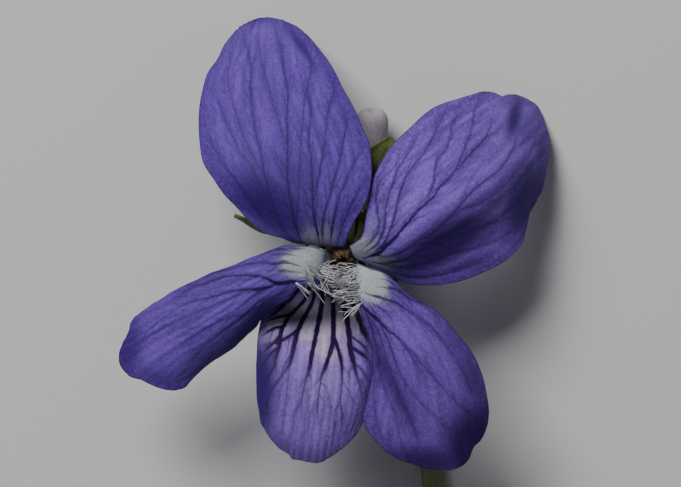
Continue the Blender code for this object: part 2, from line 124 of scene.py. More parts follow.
# %% Petal forms: outlines as x and y, heights from start to end, and how the margins roll down
FORMS = {
    "upper_petal_left": {
        "claw_left": [(-0.75, 2.05), (-1.35, 2.65), (-1.5, 2.0), (-1.75, 1.4)],
        "left": [
            (-2.2, 0.96), (-3.15, 1.22), (-3.9, 1.45), (-4.65, 2.0), (-5.15, 2.55), (-5.65, 3.1),
            (-6.05, 3.5), (-6.5, 4.2), (-6.85, 4.65), (-7.1, 5.6), (-7.2, 6.6), (-7.2, 7.6), (-7.05, 8.6),
            (-6.9, 9.2), (-6.75, 9.5), (-6.6, 9.6), (-6.4, 9.9), (-6.1, 10.6), (-5.85, 11.2), (-5.4, 11.7),
        ],
        "tip": [
            (-5.15, 11.9), (-4.8, 12.1), (-4.3, 12.3), (-3.85, 12.33), (-3.4, 12.25), (-2.9, 12.1),
            (-2.3, 11.8), (-2.0, 11.55),
        ],
        "right": [
            (0.02, 0.76), (0.25, 1.4), (0.52, 1.95), (0.88, 2.55), (1.15, 3.0), (1.3, 3.5), (1.4, 4.1),
            (1.45, 4.6), (1.4, 5.25), (1.3, 5.95), (1.05, 6.5), (0.75, 7.25), (0.35, 8.05), (0.0, 8.7),
            (-0.35, 9.45), (-0.75, 10.1), (-1.25, 10.75), (-1.75, 11.35),
        ],
        "claw_right": [(-0.25, 2.25), (-0.65, 2.95), (-0.62, 2.25), (-0.5, 1.55)],
        "claw": [4.75, 5.35, 6.25, 7.05],
        "blade": [7.6, 8.1, 8.05, 7.7, 7.05, 6.1, 4.8, 2.9, 0.12],
        "bend": (-1.2, 1.0),
        "axis": (-0.225, 0.974),
        "length": 11.6,
        "roll_left": [0.0, 0.0, 0.1, 0.5, 0.8, 0.8, 0.5],
        "roll_right": [0.0, 0.0, 0.1, 0.2, 0.4, 0.7, 0.8],
        "dents": [(-4.1, 1.6, 2.4, 1.2, 140, 0.95), (-2.15, 10.85, 1.25, 0.22, -57, 0.26)],
    },
    "upper_petal_right": {
        "claw_left": [(0.85, 2.25), (1.3, 2.75), (1.42, 2.15), (1.3, 1.45)],
        "left": [
            (0.34, 0.82), (0.9, 1.2), (1.1, 1.9), (1.18, 2.6), (1.3, 3.35), (1.45, 3.95), (1.65, 4.5),
            (1.9, 4.9), (2.15, 5.4), (2.5, 5.9), (2.75, 6.15), (3.35, 6.7), (3.85, 7.2), (4.35, 7.6),
            (4.85, 7.85), (5.35, 8.05), (5.95, 8.25), (6.6, 8.43),
        ],
        "tip": [
            (7.1, 8.55), (7.5, 8.52), (7.75, 8.43), (7.95, 8.33), (8.25, 8.4), (8.75, 8.4), (9.25, 8.2),
            (9.7, 7.95), (10.0, 7.5), (10.15, 7.0), (10.35, 6.35), (10.35, 5.6), (10.25, 4.85),
            (10.15, 4.2), (10.0, 3.6),
        ],
        "right": [
            (0.55, 0.38), (1.3, -0.13), (1.85, -0.43), (2.35, -0.7), (2.85, -0.9), (3.45, -1.1),
            (4.1, -1.15), (4.75, -1.15), (5.35, -1.07), (6.1, -0.9), (6.85, -0.6), (7.7, -0.2),
            (8.25, 0.15), (8.75, 0.7), (9.05, 1.1), (9.18, 1.55), (9.2, 2.0), (9.45, 2.55), (9.75, 3.1),
        ],
        "claw_right": [(1.2, 1.9), (2.0, 2.15), (1.95, 1.45), (1.55, 0.75)],
        "claw": [4.75, 5.35, 6.2, 6.9],
        "blade": [7.55, 7.8, 7.75, 7.4, 6.8, 5.9, 4.6, 2.7, 0.12],
        "bend": (0.5, 0.55),
        "axis": (0.835, 0.55),
        "length": 11.75,
        "roll_left": [0.0, 0.0, 0.1, 0.2, 0.4, 0.5, 0.4],
        "roll_right": [0.0, 0.1, 0.2, 0.2, 0.2, 0.3, 0.2],
        "folds": [(2.75, 0.75, -56.0, 0.7, 0.22), (4.0, -0.85, -60.0, -0.45, 0.35)],
        "dents": [(8.6, 7.15, 0.95, 0.24, 76, 0.16)],
    },
    "side_petal_left": {
        "claw_left": [(-0.85, 1.55), (-1.5, 1.4), (-1.48, 1.1), (-1.2, 0.76)],
        "left": [
            (-0.88, 0.56), (-1.6, 0.76), (-2.4, 0.8), (-3.15, 0.8), (-3.65, 0.5), (-4.4, 0.3), (-5.15, 0.0),
            (-5.9, -0.3), (-6.65, -0.6), (-7.4, -1.0), (-8.15, -1.3), (-8.65, -1.6), (-9.4, -2.05),
            (-10.0, -2.5),
        ],
        "tip": [
            (-10.55, -2.95), (-10.7, -3.5), (-11.0, -4.05), (-11.2, -4.65), (-11.15, -5.15), (-10.8, -5.6),
            (-10.45, -5.8), (-10.15, -5.85), (-9.65, -6.1), (-9.15, -6.3), (-8.65, -6.4), (-8.2, -6.38),
        ],
        "right": [
            (-1.2, -1.05), (-1.75, -1.2), (-2.15, -1.2), (-2.45, -1.55), (-2.8, -1.85), (-3.4, -2.2),
            (-4.05, -2.8), (-4.3, -3.2), (-4.65, -3.5), (-5.15, -3.95), (-5.65, -4.4), (-6.15, -4.75),
            (-6.65, -5.1), (-7.15, -5.5), (-7.55, -5.85), (-7.85, -6.15),
        ],
        "claw_right": [(-0.95, 1.15), (-1.62, 0.75), (-1.68, 0.25), (-1.58, -0.4)],
        "claw": [4.4, 4.45, 5.8, 7.2],
        "blade": [8.25, 8.75, 8.8, 8.6, 8.3, 7.9, 7.4, 6.8, 6.1],
        "bend": (-1.1, -0.2),
        "axis": (-0.905, -0.425),
        "length": 11.0,
        "roll_left": [0.0, 0.0, 0.1, 0.3, 0.5, 0.5, 0.4],
        "roll_right": [0.0, 0.0, 0.2, 0.9, 1.3, 1.3, 0.9],
    },
    "side_petal_right": {
        "claw_left": [(1.25, 1.1), (2.1, 0.7), (1.88, -0.4), (1.32, -1.12)],
        "left": [
            (0.72, -1.4), (0.8, -2.1), (0.85, -2.3), (1.0, -2.8), (1.15, -3.3), (1.3, -3.8), (1.45, -4.4),
            (1.48, -5.15), (1.4, -5.8), (1.3, -6.4), (1.2, -6.9), (1.07, -7.4), (1.0, -7.8), (1.1, -8.15),
            (1.3, -8.5),
        ],
        "tip": [
            (1.65, -8.95), (2.0, -9.3), (2.45, -9.65), (2.95, -9.9), (3.45, -10.05), (3.9, -10.2),
            (4.35, -10.33), (4.85, -10.33), (5.3, -10.38), (5.75, -10.25), (6.15, -10.0), (6.35, -9.65),
            (6.5, -9.25), (6.85, -8.9), (7.05, -8.5),
        ],
        "right": [
            (0.7, -0.06), (1.3, -0.3), (1.85, -0.45), (2.25, -0.65), (2.6, -0.95), (2.95, -1.25),
            (3.35, -1.65), (3.85, -1.95), (4.35, -2.25), (4.85, -2.65), (5.35, -3.2), (5.85, -3.8),
            (6.35, -4.4), (6.65, -5.0), (6.95, -5.8), (7.15, -6.65), (7.25, -7.4), (7.2, -8.0),
        ],
        "claw_right": [(1.25, 1.45), (2.08, 1.35), (1.8, 0.14), (1.14, -0.3)],
        "claw": [4.4, 4.45, 5.8, 7.2],
        "blade": [8.25, 8.75, 8.85, 8.8, 8.65, 8.4, 8.0, 7.5, 6.9],
        "bend": (0.72, -0.65),
        "axis": (0.435, -0.9),
        "length": 10.9,
        "roll_left": [0.0, 0.0, 0.0, 0.1, 0.2, 0.3, 0.3],
        "roll_right": [0.0, 0.0, 0.2, 0.5, 0.8, 1.0, 0.9],
        "dents": [(2.6, -6.3, 3.2, 0.5, -64, 0.24)],
    },
    "lower_petal": {
        "claw_left": [],
        "left": [
            (-1.06, -1.33), (-2.0, -1.12), (-3.0, -1.62), (-3.9, -2.45), (-4.15, -3.15), (-4.25, -3.9),
            (-4.28, -4.65), (-4.3, -5.4), (-4.28, -6.15), (-4.25, -6.9), (-4.15, -7.5), (-4.05, -8.0),
        ],
        "tip": [
            (-3.8, -8.5), (-3.5, -8.9), (-3.1, -9.3), (-2.75, -9.5), (-2.55, -9.7), (-2.45, -9.85),
            (-2.35, -9.86), (-2.25, -9.83), (-1.95, -9.9), (-1.55, -10.0), (-1.15, -9.95), (-0.65, -9.7),
            (-0.15, -9.35), (0.35, -8.9),
        ],
        "right": [
            (1.06, -1.33), (1.2, -2.1), (1.4, -3.0), (1.5, -3.95), (1.6, -4.95), (1.55, -6.0), (1.32, -7.1),
            (0.9, -8.0), (0.65, -8.45),
        ],
        "claw_right": [],
        "claw": [],
        "blade": [5.1, 6.1, 7.0, 7.65, 8.0, 8.1, 8.05, 7.85, 7.5, 6.9],
        "bend": (0.0, -1.33),
        "axis": (-0.165, -0.986),
        "length": 8.75,
        "roll_left": [0.0, 0.0, 0.3, 0.5, 0.6, 0.7, 0.6],
        "roll_right": [0.0, 0.0, 0.3, 0.5, 0.6, 0.7, 0.6],
        "dip": [
            (0.0, -0.55, -0.21), (0.0, -0.45, -0.4), (0.0, -0.25, -0.45), (0.0, 0.0, -0.2), (0.0, 0.0, 0.0),
            (0.0, 0.0, 0.1), (0.0, 0.0, 0.1),
        ],
    },
}
print("petals:", ", ".join(FORMS))

# %% Petal outlines
EDGE_POINTS = 16
TIP_POINTS = 24
TIP_SPREAD = 3.0


def edges_of(form):
    """The left edge, the tip and the right edge, each as evenly spaced points."""
    left = form["claw_left"] + even(form["left"], EDGE_POINTS).tolist()
    right = form["claw_right"] + even(form["right"], EDGE_POINTS).tolist()
    ends = [form["left"][-1]] + form["tip"] + [form["right"][-1]]
    tip = even(ends, TIP_POINTS)[1:-1].tolist()
    return np.array(left), np.array(tip), np.array(right)


def bend_share(form):
    """How far along the petal's length its claw ends."""
    claw = len(form["claw_left"])
    return claw / (claw + EDGE_POINTS - 1)


def flat_petal(form, u, v):
    """Where the sheet lies seen from the front, u across it from edge to edge and v along it."""
    left, tip, right = edges_of(form)
    across = u[..., None]
    chord = (1 - across) * left[-1] + across * right[-1]
    tip_line = spline(np.vstack([left[-1:], tip, right[-1:]]), u)
    between = (1 - across) * spline(left, v) + across * spline(right, v)
    return between + v[..., None] ** TIP_SPREAD * (tip_line - chord)


print("claws end at:", {name: round(bend_share(form), 3) for name, form in FORMS.items()})

# %% [markdown]
# ## The height of a petal
# Seen from the side, the claw rises to the throat and the blade arches away from it. The height follows
# one curve along the petal, the margins roll down from it, and folds and dents are pressed in. A real
# petal rests on the surface by its tip, so no point of it sinks below a lowest height.

# %% Petal heights
BEND_ROUND = 0.05
BEND_SPAN = 0.22
OVAL_FALL = 0.9
LOWEST = 0.11
LOWEST_SOFT = 0.05


def direction(turn):
    """The direction at this angle in degrees, as x and y."""
    return math.cos(math.radians(turn)), math.sin(math.radians(turn))


def oval(points, x, y, long, short, turn):
    """1 in the middle of a soft oval, fading to 0 outside it."""
    c, s = direction(turn)
    dx, dy = points[..., 0] - x, points[..., 1] - y
    return np.exp(-OVAL_FALL * (((dx * c + dy * s) / long) ** 2 + ((dy * c - dx * s) / short) ** 2))


def middle_height(form, u, v):
    """The height along the claw and the blade, before the margins roll."""
    bend_at = bend_share(form)

    def reach(v):
        from_bend = flat_petal(form, u, v) - np.array(form["bend"])
        return from_bend @ np.array(form["axis"]) / form["length"]

    at_bend, at_tip = reach(np.full_like(v, bend_at)), reach(np.ones_like(v))
    along = np.clip((reach(v) - at_bend) / (at_tip - at_bend), 0, 1) * at_tip
    height = spline(form["blade"], along)
    if form["claw"]:
        claw = form["claw"] + form["blade"][:1]
        past = np.maximum(v - bend_at, 0)
        rise = (claw[-1] - claw[-2]) / bend_at * (len(claw) - 1)
        height += rise * past * np.exp(-past / BEND_ROUND)
        height = np.where(v < bend_at, spline(claw, v / bend_at), height)
    return height


def petal_surface(form, u, v):
    """Points of a petal's sheet, u across it from edge to edge and v along it, from 0 to 1."""
    from_middle = 2 * u - 1
    roll = np.where(u < 0.5, spline(form["roll_left"], v), spline(form["roll_right"], v))
    height = middle_height(form, u, v) - roll * from_middle**2
    points = np.concatenate([flat_petal(form, u, v), height[..., None]], axis=-1)
    if "dip" in form:
        points += (1 - from_middle**2)[..., None] * spline(form["dip"], v)
    bend_at = bend_share(form)
    past_bend = smooth(v, bend_at, bend_at + BEND_SPAN)
    for x, y, turn, slope, soft in form.get("folds", []):
        away = direction(turn)
        far = (points[..., 0] - x) * away[0] + (points[..., 1] - y) * away[1]
        points[..., 2] -= past_bend * slope * soft * np.logaddexp(0, far / soft)
    for x, y, long, short, turn, depth in form.get("dents", []):
        points[..., 2] -= past_bend * depth * oval(points, x, y, long, short, turn)
    points[..., 2] = LOWEST + LOWEST_SOFT * np.logaddexp(0, (points[..., 2] - LOWEST) / LOWEST_SOFT)
    return points


print("blades rise to:", {name: max(form["blade"]) for name, form in FORMS.items()}, "mm")

# %% [markdown]
# ## The spur
# The lower petal's base grows back into a hollow, blunt spur that holds nectar. A tube joined to the
# blade would show a seam, so both are one sheet: rolled up round a spine at its far end, it opens into
# the channel under the throat and then spreads into the blade.

# %% Spur and lower petal
SPUR = [
    (1.52, 7.72, 1.74), (1.5, 7.45, 1.64), (1.4, 6.7, 1.48), (1.15, 5.4, 1.32), (0.85, 3.9, 1.28),
    (0.55, 2.3, 1.45), (0.34, 0.95, 1.95), (0.26, 0.0, 2.75), (0.22, -0.52, 3.6), (0.12, -0.6, 4.5),
    (0.0, -0.72, 5.35),
]
SPUR_RADII = [0.0, 0.60, 0.80, 0.82, 0.80, 0.80, 0.84, 0.88, 0.95, 1.05, 1.25]
SPUR_REACH = [180, 180, 180, 180, 180, 180, 180, 180, 140, 85, 58]
SPUR_SHARE = 0.32
SPUR_NOTCH = 0.34
SPUR_NOTCH_WIDTH = 0.26
SPUR_NOTCH_DEPTH = 0.05
JOIN_PARTS = 5
RIGHTWARD = np.array((1.0, 0.0, 0.0))


def way_along(path, t, step):
    """The direction, of length 1, in which the smooth curve runs at each t."""
    ahead = spline(path, t + step) - spline(path, t - step)
    return ahead / np.linalg.norm(ahead, axis=-1, keepdims=True)


def spur_surface(u, v):
    """Points in the spur's wall, u round it from seam to seam, v from its blunt end to the claw."""
    ahead = way_along(SPUR, v, 0.01)
    sideways = RIGHTWARD - ahead[..., :1] * ahead
    sideways /= np.linalg.norm(sideways, axis=-1, keepdims=True)
    topward = np.cross(ahead, sideways)
    radius = spline(SPUR_RADII, v)[..., None]
    turn = np.radians((2 * u - 1) * np.clip(spline(SPUR_REACH, v), 0, 180))[..., None]
    aside = radius * np.sin(turn)
    notch = SPUR_NOTCH * np.exp(-((aside / SPUR_NOTCH_WIDTH) ** 2) - (v[..., None] / SPUR_NOTCH_DEPTH) ** 2)
    return spline(SPUR, v) + aside * sideways - radius * np.cos(turn) * topward + notch * ahead


def lower_petal_surface(form, u, v):
    """The spur's wall and, past SPUR_SHARE of the way, the blade that it opens into. The last of the
    spur's JOIN_PARTS parts bends to meet the blade's edge."""
    in_spur = np.clip(v / SPUR_SHARE, 0, 1)
    in_blade = np.clip((v - SPUR_SHARE) / (1 - SPUR_SHARE), 0, 1)
    first = np.zeros_like(v)
    shift = petal_surface(form, u, first) - spur_surface(u, first + 1)
    near = np.clip(JOIN_PARTS * in_spur - (JOIN_PARTS - 1), 0, 1)[..., None] ** 2
    spur = spur_surface(u, in_spur) + near * shift
    return np.where((v < SPUR_SHARE)[..., None], spur, petal_surface(form, u, in_blade))


print("the spur is", round(float(np.linalg.norm(np.diff(SPUR, axis=0), axis=1).sum()), 1), "mm long")

# %% [markdown]
# ## Main veins
# Violets show their veins as dark lines: bold purple guide lines on the lower petal, finer fans on the
# others. A noise texture makes lines too, but not these. The bold ones are listed one by one, because
# they are what the eye knows the flower by.

# %% Main veins: half-width and strength at the start and at the end, and the points between
MAIN_VEINS = {
    "lower_petal": [
        (0.115, 0.05, 1.0, 0.6, [
            (-0.5, -1.35), (-0.5, -1.9), (-0.48, -2.9), (-0.5, -3.9), (-0.6, -4.4), (-0.8, -5.0),
            (-1.05, -5.65), (-1.1, -5.95), (-1.2, -6.65), (-1.25, -7.4), (-1.2, -8.15),
        ]),
        (0.06, 0.03, 0.6, 0.3, [(-1.1, -5.95), (-0.8, -6.4), (-0.65, -7.15), (-0.7, -7.9)]),
        (0.11, 0.045, 1.0, 0.5, [
            (-1.0, -1.35), (-1.05, -1.9), (-1.15, -2.65), (-1.3, -3.4), (-1.45, -4.15), (-1.55, -4.65),
            (-1.7, -5.4), (-1.9, -6.15), (-2.05, -6.9), (-2.1, -7.9),
        ]),
        (0.095, 0.04, 1.0, 0.55, [
            (-1.42, -1.35), (-1.52, -1.95), (-1.78, -2.52), (-2.0, -2.9), (-2.18, -3.29), (-2.31, -3.65),
            (-2.42, -4.1), (-2.5, -4.5), (-2.6, -5.0), (-2.9, -5.5), (-3.25, -6.0), (-3.55, -6.4),
            (-3.75, -6.9),
        ]),
        (0.05, 0.03, 0.75, 0.4, [
            (-2.6, -5.0), (-2.7, -5.65), (-2.8, -6.65), (-2.95, -7.9), (-3.05, -8.65),
        ]),
        (0.066, 0.034, 0.95, 0.55, [
            (-2.25, -3.42), (-2.62, -3.69), (-2.98, -3.92), (-3.25, -4.02), (-3.47, -4.07), (-3.69, -4.12),
            (-4.0, -4.25),
        ]),
        (0.084, 0.038, 1.0, 0.55, [
            (-1.72, -1.35), (-1.95, -1.95), (-2.4, -2.45), (-2.71, -2.78), (-2.93, -3.16), (-3.1, -3.55),
            (-3.14, -3.96), (-3.2, -4.32), (-3.33, -4.76), (-3.42, -5.2), (-3.6, -5.65), (-3.85, -6.15),
        ]),
        (0.1, 0.04, 0.95, 0.6, [
            (-2.25, -1.4), (-2.65, -1.9), (-3.15, -2.15), (-3.75, -2.5), (-4.05, -2.9),
        ]),
        (0.05, 0.036, 0.95, 0.6, [
            (-2.6, -2.62), (-2.95, -2.72), (-3.29, -2.81), (-3.6, -2.92), (-3.95, -3.1),
        ]),
        (0.06, 0.04, 0.95, 0.65, [
            (-2.96, -3.22), (-3.2, -3.27), (-3.47, -3.36), (-3.78, -3.54), (-4.05, -3.75),
        ]),
        (0.048, 0.032, 0.85, 0.5, [
            (-3.18, -4.22), (-3.5, -4.5), (-3.73, -4.76), (-3.95, -5.2), (-4.1, -5.8),
        ]),
        (0.09, 0.045, 1.0, 0.5, [
            (-0.45, -3.8), (-0.25, -4.4), (-0.1, -5.0), (-0.05, -5.65), (-0.05, -6.15), (-0.15, -6.9),
            (-0.05, -7.65), (-0.15, -8.4),
        ]),
        (0.11, 0.045, 1.0, 0.5, [
            (0.0, -1.45), (0.05, -2.15), (0.2, -2.9), (0.3, -3.65), (0.35, -4.4), (0.5, -5.0),
            (0.65, -5.65), (0.85, -6.4), (0.9, -7.0),
        ]),
        (0.085, 0.035, 0.85, 0.4, [(0.35, -4.25), (0.75, -4.5), (1.15, -4.8), (1.35, -5.05)]),
        (0.055, 0.03, 0.55, 0.3, [(0.0, -5.9), (0.15, -6.25), (0.35, -6.65), (0.7, -7.3)]),
        (0.105, 0.05, 0.95, 0.6, [
            (0.4, -1.45), (0.55, -2.15), (0.8, -2.8), (1.0, -3.4), (1.25, -3.9), (1.45, -4.35),
        ]),
        (0.05, 0.03, 0.55, 0.25, [(-1.7, -5.4), (-1.55, -6.15), (-1.6, -6.9)]),
        (0.045, 0.03, 0.45, 0.25, [(-2.9, -5.5), (-3.1, -6.4), (-3.2, -7.15), (-3.35, -7.65)]),
        (0.045, 0.03, 0.45, 0.25, [(0.5, -5.0), (0.3, -5.65), (0.35, -6.65)]),
        (0.055, 0.032, 0.9, 0.55, [(-2.75, -1.95), (-3.1, -2.35), (-3.5, -2.65), (-4.05, -3.0)]),
        (0.054, 0.036, 0.95, 0.6, [
            (-3.13, -3.68), (-3.3, -3.87), (-3.47, -4.05), (-3.73, -4.32), (-4.05, -4.62),
        ]),
        (0.05, 0.03, 0.6, 0.35, [(-3.25, -6.0), (-3.6, -6.6), (-3.8, -7.4), (-3.85, -8.1)]),
        (0.05, 0.03, 0.6, 0.35, [(-2.45, -4.4), (-2.85, -5.05), (-3.1, -5.7), (-3.3, -6.3)]),
        (0.055, 0.03, 0.7, 0.4, [(0.3, -3.65), (0.7, -3.95), (1.05, -4.25), (1.4, -4.75)]),
        (0.05, 0.03, 0.65, 0.4, [(0.5, -5.0), (0.85, -5.35), (1.15, -5.8), (1.35, -6.3)]),
        (0.05, 0.03, 0.6, 0.35, [(0.65, -5.65), (0.95, -6.1), (1.1, -6.6), (1.15, -7.2)]),
        (0.045, 0.03, 0.5, 0.3, [(-1.2, -6.65), (-1.55, -7.3), (-1.7, -8.1), (-1.75, -9.0)]),
        (0.045, 0.03, 0.5, 0.3, [(-0.15, -6.9), (-0.45, -7.6), (-0.5, -8.4), (-0.65, -9.2)]),
        (0.045, 0.03, 0.45, 0.3, [(-2.05, -6.9), (-2.4, -7.6), (-2.5, -8.3), (-2.6, -9.1)]),
    ],
    "side_petal_left": [
        (0.08, 0.035, 1.0, 0.42, [
            (-1.95, -0.93), (-2.65, -1.0), (-3.3, -1.05), (-3.95, -0.75), (-4.7, -0.68), (-5.4, -0.7),
            (-6.1, -0.8), (-6.9, -1.1), (-7.6, -1.35), (-8.4, -1.85),
        ]),
        (0.07, 0.035, 0.85, 0.4, [
            (-3.3, -1.05), (-3.65, -1.23), (-4.3, -1.35), (-5.05, -1.4), (-5.8, -1.55), (-6.65, -1.78),
            (-7.55, -2.0), (-8.65, -2.5),
        ]),
        (0.06, 0.035, 0.65, 0.35, [
            (-2.15, -0.2), (-2.4, -0.12), (-2.93, 0.0), (-3.35, -0.1), (-3.95, -0.05), (-4.7, -0.12),
            (-5.4, -0.3), (-6.5, -0.6), (-7.35, -1.05),
        ]),
        (0.05, 0.035, 0.6, 0.35, [(-2.55, 0.5), (-3.0, 0.65), (-3.45, 0.58), (-4.3, 0.35), (-5.0, 0.05)]),
        (0.055, 0.035, 0.4, 0.3, [
            (-2.65, -1.35), (-3.25, -1.6), (-3.95, -2.0), (-4.7, -2.5), (-5.8, -2.8), (-6.9, -3.3),
            (-7.9, -3.9),
        ]),
        (0.05, 0.035, 0.36, 0.26, [
            (-4.3, -1.35), (-5.4, -1.7), (-6.5, -2.2), (-8.0, -2.8), (-9.15, -3.4), (-10.15, -4.05),
        ]),
        (0.05, 0.035, 0.34, 0.26, [
            (-3.95, -2.0), (-5.15, -2.8), (-6.15, -3.55), (-7.15, -4.4), (-7.9, -5.1),
        ]),
        (0.045, 0.035, 0.3, 0.22, [
            (-4.7, -0.68), (-5.9, -1.15), (-7.15, -1.7), (-8.65, -2.6), (-9.65, -3.4), (-10.4, -4.4),
        ]),
        (0.04, 0.03, 0.6, 0.3, [(-2.2, 0.28), (-2.7, 0.38), (-3.3, 0.34), (-4.1, 0.16)]),
        (0.04, 0.03, 0.6, 0.3, [(-2.05, -0.52), (-2.6, -0.48), (-3.2, -0.42), (-3.9, -0.4)]),
        (0.04, 0.03, 0.55, 0.3, [(-1.9, 0.66), (-2.3, 0.7), (-2.8, 0.74)]),
    ],
    "side_petal_right": [
        (0.08, 0.035, 1.0, 0.42, [
            (0.75, -1.85), (0.95, -2.15), (1.2, -2.45), (1.75, -2.9), (2.25, -3.4), (2.6, -3.65),
            (3.05, -4.15), (3.6, -5.0), (4.05, -5.9),
        ]),
        (0.065, 0.035, 0.8, 0.38, [
            (1.1, -1.5), (1.32, -1.63), (1.8, -1.75), (2.25, -1.9), (2.65, -2.05), (3.25, -2.45),
            (3.95, -3.05), (4.7, -3.9),
        ]),
        (0.055, 0.035, 0.6, 0.34, [
            (1.75, -1.25), (1.95, -1.25), (2.25, -1.3), (2.7, -1.4), (3.25, -1.75), (4.05, -2.2),
            (4.85, -2.9),
        ]),
        (0.055, 0.035, 0.5, 0.3, [
            (0.95, -2.15), (1.35, -3.0), (1.65, -4.15), (1.85, -5.4), (2.0, -6.15), (2.55, -7.55),
            (2.8, -8.65), (2.95, -9.4),
        ]),
        (0.05, 0.035, 0.42, 0.3, [
            (1.75, -2.9), (2.25, -3.9), (2.65, -5.0), (3.15, -6.05), (3.9, -7.0), (4.65, -7.8),
            (5.45, -8.6),
        ]),
        (0.05, 0.035, 0.4, 0.28, [
            (2.6, -3.65), (3.45, -4.5), (4.2, -5.4), (4.8, -6.05), (5.55, -6.9), (6.3, -7.55),
            (6.85, -7.95),
        ]),
        (0.045, 0.035, 0.36, 0.26, [
            (2.65, -2.05), (3.85, -2.8), (4.85, -3.8), (5.65, -4.9), (6.25, -6.15), (6.65, -7.15),
        ]),
        (0.045, 0.035, 0.36, 0.26, [
            (1.2, -2.45), (1.85, -3.65), (2.3, -5.15), (2.85, -6.65), (3.45, -8.15), (3.95, -9.4),
        ]),
        (0.045, 0.035, 0.3, 0.24, [
            (1.0, -2.8), (1.35, -4.15), (1.55, -5.65), (1.55, -6.9), (1.75, -8.15), (2.15, -9.15),
        ]),
        (0.04, 0.03, 0.6, 0.3, [(1.35, -2.0), (1.7, -2.2), (2.1, -2.48), (2.6, -2.9)]),
        (0.04, 0.03, 0.55, 0.3, [(1.7, -0.85), (2.1, -0.9), (2.45, -1.05), (2.85, -1.32)]),
        (0.04, 0.03, 0.5, 0.3, [(1.15, -1.95), (1.45, -2.35), (1.8, -2.75)]),
    ],
    "upper_petal_left": [
        (0.07, 0.035, 0.9, 0.36, [
            (-1.15, 0.95), (-1.23, 1.3), (-1.48, 2.75), (-1.55, 4.8), (-1.7, 6.05), (-1.6, 7.3),
            (-1.75, 8.45), (-1.65, 9.6),
        ]),
        (0.07, 0.035, 0.8, 0.36, [
            (-2.05, 1.0), (-2.2, 1.35), (-2.45, 2.3), (-2.75, 4.0), (-2.75, 5.65), (-2.8, 7.3),
            (-2.75, 8.45), (-3.0, 9.8), (-3.25, 11.2), (-3.5, 12.0),
        ]),
        (0.06, 0.035, 0.6, 0.34, [
            (-2.55, 1.1), (-3.0, 1.7), (-3.5, 2.9), (-3.85, 4.15), (-4.15, 5.65), (-4.35, 6.45),
            (-4.6, 8.45), (-4.6, 9.8), (-4.85, 10.85), (-5.0, 11.6),
        ]),
        (0.055, 0.035, 0.5, 0.32, [
            (-2.95, 1.35), (-3.35, 2.2), (-3.85, 3.3), (-4.5, 4.65), (-5.1, 5.4), (-5.4, 6.05),
            (-6.0, 7.45), (-6.4, 8.6),
        ]),
        (0.05, 0.035, 0.42, 0.28, [
            (-3.65, 1.7), (-4.4, 2.8), (-5.15, 3.85), (-5.9, 4.85), (-6.5, 5.85), (-6.85, 6.85),
        ]),
        (0.06, 0.035, 0.8, 0.34, [
            (-1.0, 0.9), (-1.0, 2.0), (-0.7, 3.15), (-0.25, 4.8), (0.0, 5.95), (0.15, 6.85), (0.1, 7.7),
        ]),
        (0.06, 0.035, 0.75, 0.34, [
            (-0.65, 0.9), (-0.5, 2.0), (-0.2, 3.15), (0.2, 4.15), (0.65, 5.15), (1.05, 5.8),
        ]),
        (0.055, 0.035, 0.6, 0.34, [
            (-1.5, 2.75), (-1.25, 4.0), (-0.95, 5.65), (-0.85, 6.65), (-0.7, 7.7), (-0.45, 8.6),
            (-0.6, 9.5),
        ]),
        (0.05, 0.035, 0.48, 0.32, [
            (-2.3, 1.7), (-2.2, 3.55), (-2.1, 5.65), (-2.0, 7.15), (-1.85, 8.45), (-1.6, 9.6),
            (-1.85, 10.6), (-2.3, 11.45),
        ]),
        (0.05, 0.035, 0.55, 0.34, [(-0.3, 0.95), (0.05, 2.0), (0.45, 2.95), (0.85, 3.7), (1.3, 4.5)]),
        (0.045, 0.035, 0.36, 0.26, [
            (-3.85, 4.15), (-4.65, 5.6), (-5.15, 6.85), (-5.55, 8.1), (-5.75, 9.35), (-5.55, 10.6),
        ]),
        (0.045, 0.035, 0.36, 0.26, [
            (-2.75, 5.65), (-3.25, 7.1), (-3.65, 8.5), (-4.05, 9.85), (-4.25, 11.1),
        ]),
    ],
    "upper_petal_right": [
        (0.085, 0.04, 1.0, 0.4, [
            (1.05, 0.2), (1.75, 0.45), (2.45, 1.1), (3.0, 1.7), (3.55, 2.35), (4.05, 2.85), (4.5, 3.25),
            (4.85, 3.75), (5.6, 4.55), (6.4, 5.45), (7.05, 6.15), (7.55, 7.1),
        ]),
        (0.06, 0.035, 0.8, 0.36, [
            (1.35, 0.35), (2.05, 0.95), (2.5, 2.05), (2.65, 2.65), (3.0, 3.95), (3.45, 4.7), (4.05, 5.45),
            (4.5, 6.3), (4.9, 7.1), (5.2, 7.7),
        ]),
        (0.06, 0.035, 0.75, 0.36, [
            (1.15, 0.5), (1.75, 0.95), (2.05, 1.75), (2.15, 2.85), (2.45, 3.75), (2.7, 4.55), (3.0, 5.0),
            (3.45, 5.75), (3.85, 6.45),
        ]),
        (0.055, 0.035, 0.65, 0.34, [
            (0.95, 0.6), (1.45, 1.1), (1.8, 1.7), (1.7, 2.6), (1.65, 3.35), (1.85, 4.0), (2.25, 4.7),
        ]),
        (0.05, 0.035, 0.5, 0.34, [
            (4.05, 2.85), (4.5, 3.95), (4.65, 5.0), (5.2, 5.75), (5.5, 6.9), (5.95, 7.85),
        ]),
        (0.05, 0.035, 0.46, 0.32, [
            (4.75, 3.6), (5.45, 4.35), (6.15, 5.9), (6.4, 6.6), (6.55, 7.5), (6.85, 8.2),
        ]),
        (0.055, 0.035, 0.55, 0.34, [
            (1.85, 0.2), (2.7, 0.45), (3.75, 1.1), (4.5, 1.5), (5.6, 2.6), (6.3, 3.4), (7.05, 4.05),
            (7.8, 4.6), (8.45, 5.6), (8.85, 6.6),
        ]),
        (0.06, 0.035, 0.6, 0.32, [
